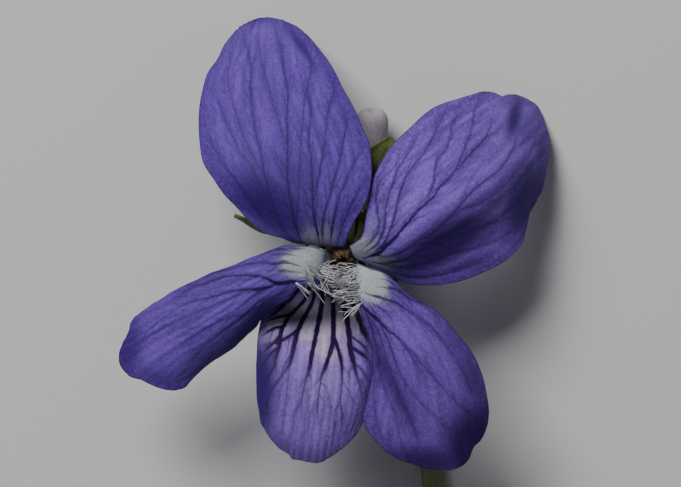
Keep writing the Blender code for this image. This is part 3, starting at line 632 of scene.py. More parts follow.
            (1.45, 0.0), (2.15, -0.05), (3.0, 0.15), (3.9, 0.6), (4.9, 0.95), (5.95, 1.5), (7.4, 2.0),
            (8.5, 2.85), (9.35, 3.85),
        ]),
        (0.05, 0.035, 0.45, 0.3, [
            (2.15, -0.15), (3.0, -0.25), (4.5, 0.1), (5.6, 0.5), (6.7, 0.75), (7.85, 1.2), (8.6, 1.7),
        ]),
        (0.045, 0.035, 0.38, 0.26, [(2.6, -0.5), (3.6, -0.75), (4.85, -0.65), (6.1, -0.3), (7.35, 0.2)]),
        (0.045, 0.035, 0.36, 0.26, [
            (5.6, 2.6), (6.6, 2.85), (7.75, 3.6), (8.75, 4.6), (9.5, 5.7), (9.75, 6.6),
        ]),
    ],
}
print("main veins:", {name: len(veins) for name, veins in MAIN_VEINS.items()})

# %% How a vein thins and pales. Lengths and half-widths are in millimetres
VEIN_STEP = 0.04
BOLDER = {"lower_petal": 1.10, "side_petal_left": 1.25, "side_petal_right": 1.10,
          "upper_petal_left": 1.05, "upper_petal_right": 1.20}
THINS_OVER = {"side": (0.6, 2.6), "upper": (0.6, 4.5)}
GUIDES_ACROSS, GUIDES_THIN, GUIDES_PALE_OVER = (-3.2, -1.6), (3.90, 4.40), 2.0
GUIDE_END_WIDTH, GUIDE_END_STRENGTH = 0.80, 0.90
GUIDE_START_THINNER, GUIDE_START = 0.35, (1.3, 2.8)
UNEVEN, UNEVEN_WAVES = 0.16, (5.3, 5.0)
FADE_LENGTH, FADE_SHARE, END_THINNER, END_PALER = 1.0, 0.45, 0.55, 0.7
FAR_PALER, FAR_FROM_TO = 0.35, (1.5, 4.0)
START_WIDTH, WIDENS_OVER, START_STRENGTH, DARKENS_OVER = 0.35, 0.9, 0.5, 0.6


def vein_samples(name, vein, rng):
    """A vein as rows of x, y, half-width and strength. It thins and pales towards its end."""
    start, end, strong, weak, points = vein
    start = BOLDER[name] * start
    length = np.linalg.norm(np.diff(points, axis=0), axis=1).sum()
    line = even(points, max(4, int(length / VEIN_STEP)))
    run = np.linspace(0, length, len(line))[:, None]
    if name == "lower_petal":
        end, weak = GUIDE_END_WIDTH * end, GUIDE_END_STRENGTH * weak
        down = -line[:, 1:2]
        pales_from = np.interp(line[:, :1], GUIDES_ACROSS, GUIDES_THIN)
        paled = smooth(down - pales_from, 0, GUIDES_PALE_OVER)
        thinned = np.clip(paled + GUIDE_START_THINNER * (1 - smooth(down, *GUIDE_START)), 0, 1)
    else:
        paled = np.linspace(0, 1, len(line))[:, None]
        thinned = smooth(run, *THINS_OVER[name.split("_")[0]])
    first, second = (np.sin(often * run + rng.uniform(0, 6)) for often in UNEVEN_WAVES)
    fading = smooth(run, length - min(FADE_LENGTH, FADE_SHARE * length), length)
    half = (start + (end - start) * thinned) * (1 - END_THINNER * fading)
    strength = (strong + (weak - strong) * paled) * (1 - END_PALER * fading)
    if name == "side_petal_right":
        strength = strength * (1 - FAR_PALER * smooth(run, *FAR_FROM_TO))
    if name != "lower_petal":
        half = half * (START_WIDTH + (1 - START_WIDTH) * smooth(run, 0, WIDENS_OVER))
        strength = strength * (START_STRENGTH + (1 - START_STRENGTH) * smooth(run, 0, DARKENS_OVER))
    return np.hstack([line, half * (1 + UNEVEN * first * second), strength])


guide = vein_samples("lower_petal", MAIN_VEINS["lower_petal"][0], np.random.default_rng(0))
print("the middle guide line's half-width:", guide[0, 2].round(3), "to", guide[-1, 2].round(3), "mm")

# %% [markdown]
# ## Side veins
# Hundreds of finer veins would be slow to set by hand, so they are grown from the bold ones by one
# rule: a side vein leaves at a narrow angle, bends towards the way the petal grows, and ends at the
# margin. Side veins of side veins follow the same rule.

# %% Side veins: the distance between two of them, angle, greatest length, share of the parent's strength
SIDE_VEINS = {
    "lower_petal": (0.70, 26, 1.3, 0.50),
    "side_petal_left": (0.42, 18, 2.4, 0.60),
    "side_petal_right": (0.48, 17, 2.4, 0.55),
    "upper_petal_left": (0.40, 16, 3.0, 0.62),
    "upper_petal_right": (0.38, 15, 3.0, 0.60),
}
BOLD, PAST_BOLD = 0.072, 0.1
STOPS_SHORT = 0.3
OFF_PETAL = 0.12
PULL, WANDER = 0.045, 0.035
FEWEST_ROWS, HIDDEN_ROWS = 8, 2
THINNEST, THINNER, NARROWS, PALES = 0.028, 0.62, 0.3, 0.75
FIRST_AT, NEXT_AT = (0.4, 1.2), (0.6, 1.4)
ANGLES, SPREADS, REACHES, SHORTER = (0.7, 1.3), (0.2, 0.9), (0.35, 1.0), 0.5


def turned(way, degrees):
    """A direction, turned to the left by an angle in degrees."""
    c, s = direction(degrees)
    return np.array((way[0] * c - way[1] * s, way[0] * s + way[1] * c))


def side_vein(place, heading, spread, reach, on_petal, growing, rng):
    """The places along one side vein, step by step, until it is long enough or leaves the petal."""
    trail = []
    for _ in range(int(reach / VEIN_STEP)):
        _, near, gap = on_petal.find((*place, 0.0))
        if gap > OFF_PETAL:
            break
        heading = heading + PULL * turned(growing[near], spread) + rng.normal(0, WANDER, 2)
        heading /= np.linalg.norm(heading)
        place = place + heading * VEIN_STEP
        trail.append(place)
    return trail


def grow_side_veins(parents, places, growing, every, angle, most, share, rng):
    """Side veins that leave their parents on alternate sides, though not where a parent is bold."""
    on_petal = tree_of(places)
    grown = []
    for parent in parents:
        side = rng.choice((-1, 1))
        at = every * rng.uniform(*FIRST_AT)
        length = len(parent) * VEIN_STEP
        while at < length - STOPS_SHORT:
            i = int(at / VEIN_STEP)
            if parent[i, 2] > BOLD:
                at += PAST_BOLD
                continue
            ahead = parent[min(i + 3, len(parent) - 1), :2] - parent[max(i - 3, 0), :2]
            heading = turned(ahead / (np.linalg.norm(ahead) + 1e-9), side * angle * rng.uniform(*ANGLES))
            spread = side * angle * rng.uniform(*SPREADS)
            reach = most * rng.uniform(*REACHES) * (1 - SHORTER * at / length)
            trail = side_vein(parent[i, :2], heading, spread, reach, on_petal, growing, rng)
            if len(trail) > FEWEST_ROWS:
                t = np.linspace(0, 1, len(trail))[:, None]
                half = max(THINNEST, THINNER * parent[i, 2]) * (1 - NARROWS * t)
                strength = share * parent[i, 3] * (1 - PALES * t)
                grown.append(np.hstack([trail, half, strength])[HIDDEN_ROWS:])
            side = -side
            at += every * rng.uniform(*NEXT_AT)
    return grown


print("side veins leave every", SIDE_VEINS["upper_petal_left"][0], "mm on the left upper petal")

# %% [markdown]
# ## Painting the veins
# A vein could be a piece of its own, but real ones lie in the petal. So each point of the petal keeps
# how it lies by its nearest vein, as vertex attributes. Attributes stay on the petal as it bends, and
# the finish can draw an edge sharper than the grid from them. Where two veins are near, the stronger
# one counts.

# %% Nearness to veins, as a width in millimetres and a share of the vein's half-width
HALO, VALLEY, CLOSE = (0.075, 1.2), (0.15, 1.0), (0.05, 1.5)
FARTHEST = 8.0
NEIGHBOURS = 8
STRONG_COUNTS = 0.6
VEIN_MARKS = ("aside", "vein", "halo", "valley", "close")


def nearness(off, half, scale):
    """1 on a vein's middle line, fading to 0 over a width that grows with the vein's own."""
    return math.exp(-((off / (scale[0] + scale[1] * half)) ** 2))


def painted(places, veins):
    """Where each place lies by its nearest vein: how far to its left or right in half-widths, how
    strong that vein is, and how near it is on three scales, from 0 to 1."""
    rows = np.vstack(veins)
    ways = np.vstack([np.gradient(vein[:, :2], axis=0) for vein in veins])
    ways /= np.linalg.norm(ways, axis=1, keepdims=True) + 1e-9
    tree = tree_of(rows[:, :2])
    found = np.zeros((len(VEIN_MARKS), len(places)))
    found[0] = FARTHEST
    for i, place in enumerate(places):
        best = FARTHEST
        for _, k, gap in tree.find_n((*place, 0.0), NEIGHBOURS):
            x, y, half, strong = rows[k]
            aside = ways[k, 0] * (place[1] - y) - ways[k, 1] * (place[0] - x)
            off = abs(aside) if gap * gap - aside * aside < VEIN_STEP**2 else gap
            if off / half - STRONG_COUNTS * strong < best:
                best = off / half - STRONG_COUNTS * strong
                found[:2, i] = math.copysign(off / half, aside), strong
            found[2, i] = max(found[2, i], strong * nearness(off, half, HALO))
            found[3, i] = max(found[3, i], strong * nearness(off, half, VALLEY))
            found[4, i] = max(found[4, i], nearness(off, half, CLOSE))
    return found


print("each point keeps:", ", ".join(VEIN_MARKS))

# %% [markdown]
# ## Making a petal
# A petal starts as a flat grid, which is laid on the form's surface point by point. Soft crumples and
# the vein grooves are pushed in while it is still one sheet, since a solid would be harder to bend
# evenly. Solidify then gives it its thickness, thinner towards the margin as in life, and a small
# bevel rounds the rim so that it catches light.

# %% Sheets
PETAL_THICK, RIM_THICK, RIM_BEVEL = 0.18, 0.5, 0.02


def pick(obj):
    """Makes the object the active one and the only one selected."""
    bpy.ops.object.select_all(action="DESELECT")
    obj.select_set(True)
    bpy.context.view_layer.objects.active = obj


def smoothed(obj):
    """The object, shaded smooth."""
    pick(obj)
    bpy.ops.object.shade_smooth()
    return obj


def vectors_of(values, key):
    """The vectors that a mesh keeps under this key, as rows."""
    found = np.empty(len(values) * 3)
    values.foreach_get(key, found)
    return found.reshape(-1, 3)


def points_of(obj):
    """The mesh's points."""
    return vectors_of(obj.data.vertices, "co")


def normals_of(obj):
    """The way that the surface faces at each point."""
    return vectors_of(obj.data.vertex_normals, "vector")


def place_points(obj, points):
    """Moves the mesh's points to these places, in metres."""
    obj.data.vertices.foreach_set("co", np.asarray(points, np.float32).ravel())
    obj.data.update()


def mark(obj, name, values):
    """Keeps one number for each point, which the finish reads."""
    layer = obj.data.attributes.new(name, "FLOAT", "POINT")
    layer.data.foreach_set("value", np.asarray(values, np.float32))


def new_sheet(name, across, along):
    """A flat grid with its corners at 0 and 1, and where each of its points is."""
    bpy.ops.mesh.primitive_grid_add(x_subdivisions=across, y_subdivisions=along, size=1.0)
    sheet = bpy.context.object
    sheet.name = sheet.data.name = name
    at = points_of(sheet) + 0.5
    return sheet, at[:, 0], at[:, 1]


def edit_all(obj, *steps):
    """Edit-mode steps on all of the mesh."""
    pick(obj)
    bpy.ops.object.mode_set(mode="EDIT")
    bpy.ops.mesh.select_all(action="SELECT")
    for step in steps:
        step()
    bpy.ops.object.mode_set(mode="OBJECT")


def apply_all(obj):
    """Makes the modifiers' results part of the mesh."""
    pick(obj)
    for modifier in list(obj.modifiers):
        bpy.ops.object.modifier_apply(modifier=modifier.name)


def waves(u, v, rng, count, finest, coarsest):
    """A soft random swell over the sheet, about -1 to 1."""
    total = np.zeros_like(u)
    for _ in range(count):
        turn = rng.uniform(0, 2 * math.pi)
        often = math.exp(rng.uniform(math.log(coarsest), math.log(finest)))
        total += np.sin(2 * math.pi * often * (u * math.cos(turn) + v * math.sin(turn)) + rng.uniform(0, 7))
    return total / math.sqrt(count)


def thicken(sheet, thick, weights=None, rim=0.5, bevel=0.0):
    """Gives the sheet its thickness and marks the points of its back."""
    before = points_of(sheet)
    outward = normals_of(sheet)
    solidify = sheet.modifiers.new("Thickness", "SOLIDIFY")
    solidify.thickness = thick * MM
    solidify.offset = 0.0
    if weights is not None:
        group = sheet.vertex_groups.new(name="thick")
        for i, weight in enumerate(weights):
            group.add([i], float(weight), "REPLACE")
        solidify.vertex_group = "thick"
        solidify.thickness_vertex_group = rim
    apply_all(sheet)
    after = points_of(sheet)
    n = len(before)
    raised = ((after[:n] - before) * outward).sum(axis=1)
    back = np.ones(len(after))
    back[:n][raised > 0] = 0.0
    if raised.mean() < 0:
        back = 1.0 - np.concatenate([np.zeros(n), np.ones(len(after) - n)])
    mark(sheet, "back", back)
    sheet.vertex_groups.clear()
    if bevel:
        rounded = sheet.modifiers.new("Rim", "BEVEL")
        rounded.limit_method = "ANGLE"
        rounded.angle_limit = math.radians(60)
        rounded.width = bevel * MM
        rounded.segments = 2
        apply_all(sheet)


print("a petal is", PETAL_THICK, "mm thick, and", PETAL_THICK * RIM_THICK, "mm at its rim")

# %% [markdown]
# ## Colour zones
# The throat is greenish white, the blades violet, and some areas are darker. The darker zones are partly
# pigment and partly painted shade where a petal folds, rolls down or turns from the light. The shade zones
# are painted shadow under the side petals and the beard, and at the upper petals' bases. Each zone is a
# soft oval on the petal, given by its middle, its two radii and its turn. Zones could be painted with a
# brush, but these few numbers are easier to change. The finish breaks up the zones' edges.

# %% Zones: x, y, long radius, short radius, turn in degrees, strength
WHITE_ZONES = {
    "side_petal_left": [(-1.75, 0.05, 1.6, 1.0, 12, 1.0)],
    "side_petal_right": [(1.3, -1.0, 1.35, 1.0, -55, 1.0), (2.0, -1.75, 0.9, 0.55, -50, 0.55)],
    "upper_petal_left": [(-1.15, 1.1, 1.3, 1.15, 0, 0.85), (-1.0, 2.2, 1.1, 1.3, 0, 0.42)],
    "upper_petal_right": [
        (0.85, 0.6, 1.3, 0.75, 35, 0.95), (1.55, 1.7, 1.6, 0.55, 65, 0.5), (1.6, 0.25, 1.7, 0.6, -22, 0.85),
    ],
    "lower_petal": [
        (-0.95, -2.9, 2.6, 1.6, 0, 1.0), (-0.85, -4.3, 1.5, 1.15, 0, 0.78), (-1.0, -5.9, 1.9, 2.2, 0, 0.42),
        (-2.6, -2.8, 2.0, 1.0, 25, 0.9), (-3.45, -3.9, 0.9, 0.55, -35, 0.55),
    ],
}
# darker zones: partly darker pigment, partly painted shade where a petal folds, rolls down or turns from the
# light
DEEP_PIGMENT_AND_SHADE_ZONES = {
    "side_petal_left": [
        (-4.6, -3.5, 3.8, 0.8, 42, 1.0), (-10.9, -4.5, 1.9, 0.9, 75, 0.9), (-7.2, -0.9, 3.0, 0.3, 25, 0.4),
        (-9.0, -5.9, 1.9, 0.7, -12, 0.5), (-5.4, -0.5, 2.2, 0.5, 20, 0.15),
    ],
    "side_petal_right": [
        (6.4, -8.8, 2.3, 1.5, 60, 1.0), (6.3, -5.6, 3.6, 0.75, -66, 0.5), (2.6, -6.3, 3.4, 0.55, -64, 0.7),
        (4.1, -9.9, 2.8, 1.0, 0, 0.8),
    ],
    "upper_petal_left": [
        (-3.4, 2.6, 2.8, 1.5, 138, 1.0), (-2.15, 10.85, 1.4, 0.25, -57, 0.8),
        (-2.6, 4.2, 2.3, 1.5, 115, 0.55), (-1.9, 2.9, 1.9, 1.0, 100, 0.6), (-6.2, 4.6, 2.6, 0.8, 110, 0.35),
        (-3.1, 1.7, 2.0, 0.7, -14, 1.0), (-6.9, 6.8, 2.6, 0.8, 90, 0.22),
    ],
    "upper_petal_right": [
        (4.9, 0.9, 3.4, 1.1, 30, 1.0), (9.2, 3.2, 2.4, 1.2, 70, 1.0), (8.6, 7.15, 1.2, 0.45, 76, 0.9),
        (6.4, -0.1, 2.4, 0.9, 20, 0.45), (2.0, 0.0, 1.5, 0.4, -30, 0.8), (9.9, 5.5, 1.8, 0.5, 80, 0.7),
        (9.4, 6.6, 1.5, 1.1, 60, 0.55), (7.6, 3.0, 2.2, 0.8, 35, 0.5),
    ],
    "lower_petal": [
        (-4.1, -6.0, 3.0, 0.95, 90, 1.0), (1.5, -6.2, 2.6, 0.45, 90, 0.8), (-1.5, -9.9, 2.5, 0.4, 0, 0.25),
        (-3.4, -8.6, 1.6, 0.6, -50, 0.35), (1.2, -4.4, 1.2, 0.3, 90, 0.6),
    ],
}
# painted shadow: the shadow of the side petals and the beard over the lower petal's top, and shade at the
# upper petals' bases
SHADE_ZONES = {
    "lower_petal": [
        (-1.0, -1.5, 3.4, 1.35, 0, 0.85), (-3.0, -2.2, 1.5, 0.8, -35, 1.0), (1.2, -2.9, 0.45, 1.2, 0, 0.8),
        (0.55, -2.75, 0.75, 0.8, 0, 0.6),
    ],
    "upper_petal_right": [(1.9, 0.0, 1.7, 0.5, -25, 0.55)],
    "upper_petal_left": [(-1.6, 0.9, 1.4, 0.3, 0, 0.5), (-3.1, 1.9, 1.9, 0.8, -14, 0.3)],
}


def zone(places, ovals):
    """The strongest of the soft ovals at each place."""
    total = np.zeros(len(places))
    for x, y, long, short, turn, strength in ovals:
        total = np.maximum(total, strength * oval(places, x, y, long, short, turn))
    return total


print("zones of the lower petal:", len(WHITE_ZONES["lower_petal"] + DEEP_PIGMENT_AND_SHADE_ZONES["lower_petal"]))

# %% Petals, with lengths and depths in millimetres and the rest as shares of a petal's length
ACROSS, ALONG = 176, 208
CLAW_ROWS, SPUR_ROWS = 0.10, 0.26
THIRD_ANGLE, THIRD_REACH = 1.2, 0.5
SWELL, CRINKLE, PLEATS = 0.030, 0.006, 0.012
VALLEY_DEPTH, HALO_DEPTH = 0.008, 0.006
WAVES_START, PLEATS_START, PLEATS_FULL = 0.06, 0.08, 0.4
SPUR_PALE = (0.14, 0.24)
THICK_FROM = 1.2
CLAW_WHITE, SIDE_CLAW_WHITE = 0.5, 0.8
SPUR_RIM, SPUR_END = 2, 0.8
NUDGE, ON_EDGE = 0.01, 1e-4


def all_veins(name, places, growing, rng):
    """The main veins, their side veins, and the side veins of those."""
    every, angle, most, share = SIDE_VEINS[name]
    mains = [vein_samples(name, vein, rng) for vein in MAIN_VEINS[name]]
    second = grow_side_veins(mains, places, growing, every, angle, most, share, rng)
    angle, most = THIRD_ANGLE * angle, THIRD_REACH * most
    return mains + second + grow_side_veins(second, places, growing, every, angle, most, share, rng)


def crumpled(u, v, start, valley, halo, rng):
    """How far each point of the sheet is lifted by swells and pleats, and lowered by veins."""
    swell = waves(1.0 * u, 1.6 * v, rng, 14, 4, 1.2)
    pleats = waves(11.0 * u, 1.2 * v, rng, 16, 1.6, 0.7)
    crinkle = waves(6.0 * u, 8.0 * v, rng, 22, 3, 0.8)
    lift = (SWELL * swell + CRINKLE * crinkle) * (0.5 + np.abs(2 * u - 1) ** 3)
    lift += PLEATS * pleats * smooth(v, start + PLEATS_START, start + PLEATS_FULL)
    return lift * smooth(v, start, start + WAVES_START) - VALLEY_DEPTH * valley - HALO_DEPTH * halo


def close_seam(sheet):
    """Joins the spur's two long edges into one seam."""
    bm = bmesh.new()
    bm.from_mesh(sheet.data)
    bmesh.ops.remove_doubles(bm, verts=bm.verts, dist=0.001 * MM)
    bm.to_mesh(sheet.data)
    bm.free()


def make_petal(name, form, seed):
    """One petal as a finished closed piece, with its veins and colour zones marked on it."""
    rng = np.random.default_rng(seed)
    sheet, u, t = new_sheet(name + "_soft", ACROSS, ALONG)
    spurred = name == "lower_petal"
    surface = lower_petal_surface if spurred else petal_surface
    start = SPUR_SHARE if spurred else bend_share(form)
    rows = SPUR_ROWS if spurred else CLAW_ROWS
    v = np.where(t < rows, t / rows * start, start + (t - rows) / (1 - rows) * (1 - start))
    points = surface(form, u, v)
    place_points(sheet, in_metres(points))
    if normals_of(sheet)[v > start][:, 2].mean() < 0:
        edit_all(sheet, bpy.ops.mesh.flip_normals)

    places, blade = points[:, :2], v >= start
    ahead = surface(form, u, np.minimum(v + NUDGE, 1)) - surface(form, u, np.maximum(v - NUDGE, 0))
    growing = ahead[:, :2] / (np.linalg.norm(ahead[:, :2], axis=1, keepdims=True) + 1e-9)
    found = np.zeros((len(VEIN_MARKS), len(u)))
    found[0] = FARTHEST
    found[:, blade] = painted(places[blade], all_veins(name, places[blade], growing[blade], rng))
    marks = dict(zip(VEIN_MARKS, found))
    lift = crumpled(u, v, start, marks["valley"], marks["halo"], rng)
    place_points(sheet, in_metres(points) + normals_of(sheet) * lift[:, None] * MM)

    edge = tree_of(points[(u < ON_EDGE) | (u > 1 - ON_EDGE) | (t > 1 - ON_EDGE)])
    rim = np.array([edge.find(place)[2] for place in points])
    marks["rim"] = np.maximum(rim, SPUR_RIM * (v < SPUR_END * start)) if spurred else rim
    claw_white = SIDE_CLAW_WHITE if "side" in name else CLAW_WHITE
    marks["white"] = np.where(blade, zone(places, WHITE_ZONES[name]), claw_white)
    # the darker zones hold pigment and painted shade; the shade zones below hold painted shadow
    marks["deep"] = zone(places, DEEP_PIGMENT_AND_SHADE_ZONES[name]) * blade
    marks["shade"] = zone(places, SHADE_ZONES.get(name, [])) * blade
    marks["spur"] = 1 - smooth(v, *SPUR_PALE) if spurred else np.zeros_like(v)
    for key, values in marks.items():
        mark(sheet, key, values)
    if spurred:
        close_seam(sheet)
    thicken(sheet, PETAL_THICK, None if spurred else np.clip(rim / THICK_FROM, 0, 1), RIM_THICK, RIM_BEVEL)
    return smoothed(sheet)


petals = {}
for seed, (name, form) in enumerate(FORMS.items()):
    petals[name] = make_petal(name, form, seed)
    low, high = (1000 * end(points_of(petals[name]), axis=0) for end in (np.min, np.max))
    print(name, len(petals[name].data.polygons), "faces", low.round(2), high.round(2))

# %% [markdown]
# ## The beard
# White hairs stand on the bases of the two side petals and hang over the throat. A hair is a short
# curved rod that thins a little and ends in a rounded knob. One rod is modelled, and each copy is bent
# along a line of its own, so that the beard tangles as it does in life.

# %% One hair
HAIR_SIDES, HAIR_RINGS = 5, 8
HAIR_RADII = [1.0, 0.95, 0.85, 0.80, 0.85, 1.05, 0.75]
BEND_STEP = 0.02
UNLIKE_HAIRS = (0.3, 0.2, 0.93)
FRONT = 0.1


def straight_hair():
    """A rod of length 1 and radius 1 along Z, as points and faces."""
    bpy.ops.mesh.primitive_cylinder_add(vertices=HAIR_SIDES, radius=1.0, depth=1.0, end_fill_type="TRIFAN",
                                        location=(0, 0, 0.5))
    rod = bpy.context.object
    rod.data.transform(rod.matrix_world)
    rod.matrix_world.identity()
    bm = bmesh.new()
    bm.from_mesh(rod.data)
    for k in range(1, HAIR_RINGS):
        cut = bm.verts[:] + bm.edges[:] + bm.faces[:]
        bmesh.ops.bisect_plane(bm, geom=cut, plane_co=(0, 0, k / HAIR_RINGS), plane_no=(0, 0, 1))
    points = np.array([vert.co[:] for vert in bm.verts])
    faces = [[vert.index for vert in face.verts] for face in bm.faces]
    bm.free()
    bpy.data.objects.remove(rod)
    return points, faces


ROD, ROD_FACES = straight_hair()
print("a hair has", len(ROD_FACES), "faces")


def square_to(ahead, other):
    """Two directions square to each of those ahead and to one another. The other may be any direction
    that is unlike all of those ahead."""
    sideways = np.cross(ahead, other)
    sideways /= np.linalg.norm(sideways, axis=1, keepdims=True)
    return sideways, np.cross(sideways, ahead)


def bent_hair(spine, radius):
    """The rod's points, bent along the spine."""
    t = ROD[:, 2]
    sideways, up = square_to(way_along(spine, t, BEND_STEP), UNLIKE_HAIRS)
    wide = (radius * spline(HAIR_RADII, t))[:, None]
    return spline(spine, t) + wide * (ROD[:, :1] * sideways + ROD[:, 1:2] * up)


def nearest_surface(petal, spots):
    """The front surface's places and normals nearest to spots given by x and y."""
    points, normals = points_of(petal) / MM - THROAT, normals_of(petal)
    front = np.flatnonzero(normals[:, 2] > FRONT)
    tree = tree_of(points[front, :2])
    found = [front[tree.find((x, y, 0.0))[1]] for x, y in spots]
    return points[found], normals[found]


def joined(name, parts):
    """One object from many sets of points that share the rod's faces."""
    points, faces = [], []
    for part in parts:
        shift = len(points)
        points.extend(part.tolist())
        faces.extend([[i + shift for i in face] for face in ROD_FACES])
    mesh = bpy.data.meshes.new(name)
    mesh.from_pydata(in_metres(points).tolist(), [], faces)
    obj = bpy.data.objects.new(name, mesh)
    bpy.context.scene.collection.objects.link(obj)
    return smoothed(obj)


# %% The two beards
BEARDS = {
    # petal: middle of the tuft, its radii, turn, number, the way the hairs lean, length, curl, whiteness
    # (lower where a tuft lies in shade, as painted shade)
    "side_petal_left": [
        ((-1.02, -0.25), (0.20, 0.26), 0, 20, (0.85, -0.30), (0.50, 1.10), 0.90, 0.88),
        ((-1.20, -0.50), (0.22, 0.35), -30, 20, (0.70, -0.62), (0.70, 1.30), 0.50, 0.45),
        ((-1.75, -0.35), (0.32, 0.35), -30, 26, (0.50, -0.86), (0.55, 1.15), 0.22, 0.25),
        ((-2.25, -1.05), (0.20, 0.08), -12, 4, (0.78, -0.62), (0.95, 1.35), 0.10, 0.80),
        ((-1.85, -1.00), (0.15, 0.08), -12, 2, (0.66, -0.75), (1.45, 1.70), 0.10, 0.80),
    ],
    "side_petal_right": [
        ((0.48, -0.40), (0.24, 0.22), 0, 20, (-0.88, -0.16), (0.50, 1.10), 0.90, 0.90),
        ((0.72, -0.85), (0.28, 0.50), 15, 38, (-0.92, -0.08), (0.80, 1.60), 0.45, 0.48),
        ((0.72, -1.40), (0.26, 0.45), 10, 32, (-0.90, -0.24), (0.80, 1.60), 0.40, 0.50),
        ((0.85, -1.95), (0.20, 0.28), 0, 15, (-0.80, -0.48), (0.55, 1.15), 0.42, 0.75),
    ],
}
BEARD_SEED = 40
HAIR_RADIUS, THINNEST_HAIR, THICKEST_HAIR, WHITE_THICKER = 0.0210, 0.60, 0.85, 0.35
HIGHEST, SOFT_TOP = 9.36, 0.46
STRAY, STRAY_CURLY, STRAY_WAYS = 0.13, 0.44, (1, 1, 0.4)
STEEPEST, UP_FROM_ROOT, UP_SOFT = 0.45, 0.12, 0.5
CURL, CURL_WAYS, RISE = (0.25, 0.85), (0.5, 0.5, 1), (0.05, 0.30)
SPINE_POINTS, ROOT_DEPTH = 7, 0.03
AHEAD, ARCH, ARCH_OVER, WRIGGLE, WRIGGLES = 0.9, 0.8, 1.9, 0.16, 8
WHITE_SPREAD = 0.28


def hair_spine(root, out, lean, length, curly, rng):
    """The middle line of one hair, which leans one way, rises off the petal and curls."""
    way = np.array((*lean, 0.0)) + rng.normal(0, STRAY + STRAY_CURLY * curly, 3) * STRAY_WAYS
    way[1] = min(way[1], STEEPEST * abs(way[0]))
    way /= np.linalg.norm(way)
    long = rng.uniform(*length)
    curl = np.cross(way, rng.normal(0, 1, 3) * CURL_WAYS)
    curl *= curly * rng.uniform(*CURL) / (np.linalg.norm(curl) + 1e-9)
    t = np.linspace(0, 1, SPINE_POINTS)[:, None]
    reach = t * way * AHEAD + rng.uniform(*RISE) * np.sin(t * ARCH_OVER) * out * ARCH
    reach = reach + curl * t * t + WRIGGLE * np.sin(t * WRIGGLES + rng.uniform(0, 6)) * curl
    spine = root - ROOT_DEPTH * out + long * reach
    highest_y = root[1] + UP_FROM_ROOT + UP_SOFT * np.tanh(spine[:, 1] - root[1] - UP_FROM_ROOT)
    spine[:, 1] = np.minimum(spine[:, 1], highest_y)
    high = HIGHEST - SOFT_TOP
    past = (spine[:, 2] - high) / SOFT_TOP
    spine[:, 2] = np.where(past > 0, high + SOFT_TOP * np.tanh(past), spine[:, 2])
    return spine


def grow_beard(name, tufts, seed):
    """All tufts of one side petal's beard as one object, with each hair's whiteness marked, partly random and
    partly painted shade.
    """
    rng = np.random.default_rng(seed)
    hairs, hair_whiteness_and_shade = [], []
    for middle, radii, turn, count, lean, length, curly, whiteness_and_shade in tufts:
        angle, far = rng.uniform(0, 2 * math.pi, count), np.sqrt(rng.uniform(0, 1, count))
        c, s = direction(turn)
        dx, dy = radii[0] * far * np.cos(angle), radii[1] * far * np.sin(angle)
        spots = np.stack([middle[0] + dx * c - dy * s, middle[1] + dx * s + dy * c], axis=1)
        thickest = THICKEST_HAIR + WHITE_THICKER * whiteness_and_shade
        for root, out in zip(*nearest_surface(petals[name], spots)):
            spine = hair_spine(root, out, lean, length, curly, rng)
            hairs.append(bent_hair(spine, HAIR_RADIUS * rng.uniform(THINNEST_HAIR, thickest)))
            # each hair's grey: random tone, and painted shade where its tuft lies in shade
            hair_whiteness_and_shade.append(np.clip(rng.normal(whiteness_and_shade, WHITE_SPREAD), 0, 1))
    beard = joined(name.replace("side_petal", "beard"), hairs)
    mark(beard, "white", np.repeat(hair_whiteness_and_shade, len(ROD)))
    return beard


beards = [grow_beard(name, tufts, BEARD_SEED + k) for k, (name, tufts) in enumerate(BEARDS.items())]
for beard in beards:
    print(beard.name, len(beard.data.polygons), "faces")

# %% [markdown]
# ## Stamens and pistil
# Five stamens press round the pistil as a short cone whose point looks out of the throat. Each has two
# pollen sacs and ends in a thin orange-brown flap; the two lower ones send a nectar horn into the spur.
# Plain cones would look turned, so each stamen is a strip bent round the flower's axis, with its sacs
# swelling out of it. The horns, the pistil and the stem are round, and are sheets rolled into tubes.

# %% Stamens
RECEPTACLE = np.array((0.19, 1.60, 4.7))
FACING = np.array((-0.06, -0.48, 0.875))
TOPWARD = np.array((0.0, 0.877, 0.48))
STAMEN_REACH = [0.05, 1.0, 1.9, 2.5, 3.25]
STAMEN_RADII = [0.86, 0.88, 0.78, 0.58, 0.26]
STAMEN_HALF_ANGLES = [26.0, 30.0, 34.0, 39.0, 30.0]
STAMENS = {"stamen_top": 0, "stamen_right": 72, "stamen_lower_right": 144,
           "stamen_lower_left": 216, "stamen_left": 288}
NECTAR_HORNS = {"stamen_lower_right": 0.24, "stamen_lower_left": -0.24}
STAMEN_SEED, STAMEN_THICK, STAMEN_GRID = 60, 0.10, (28, 44)
TIP_WAVES, TIP_WAVES_FROM = 0.25, (0.75, 1.0)
TIP_LONGER, TIP_LONGER_FROM, TIP_TURNS, TIP_TURNS_FROM = 0.06, (0.8, 1.0), 6, (0.7, 1.0)
EVERY_OTHER_WIDER = 0.02
SAC_DEPTH, SAC_AT, SAC_WIDE, SAC_STARTS, SAC_ENDS = 0.11, 0.5, 0.26, (0.03, 0.15), (0.62, 0.78)
HORN_RADII = [0.13, 0.14, 0.13, 0.12, 0.04]
SHARP = math.radians(50)
TUBE_STEP, UNLIKE_TUBES, RIDGE_COUNT = 0.01, (0.13, 0.21, 0.97), 5


def on_axis(reach, radius, turn):
    """Points beside the flower's axis: reach ahead of the receptacle, turned from its top side."""
    turn = np.radians(turn)
    up, aside = radius * np.cos(turn), radius * np.sin(turn)
    out = np.multiply.outer(up, TOPWARD) + np.multiply.outer(aside, RIGHTWARD)
    return RECEPTACLE + np.multiply.outer(reach, FACING) + out


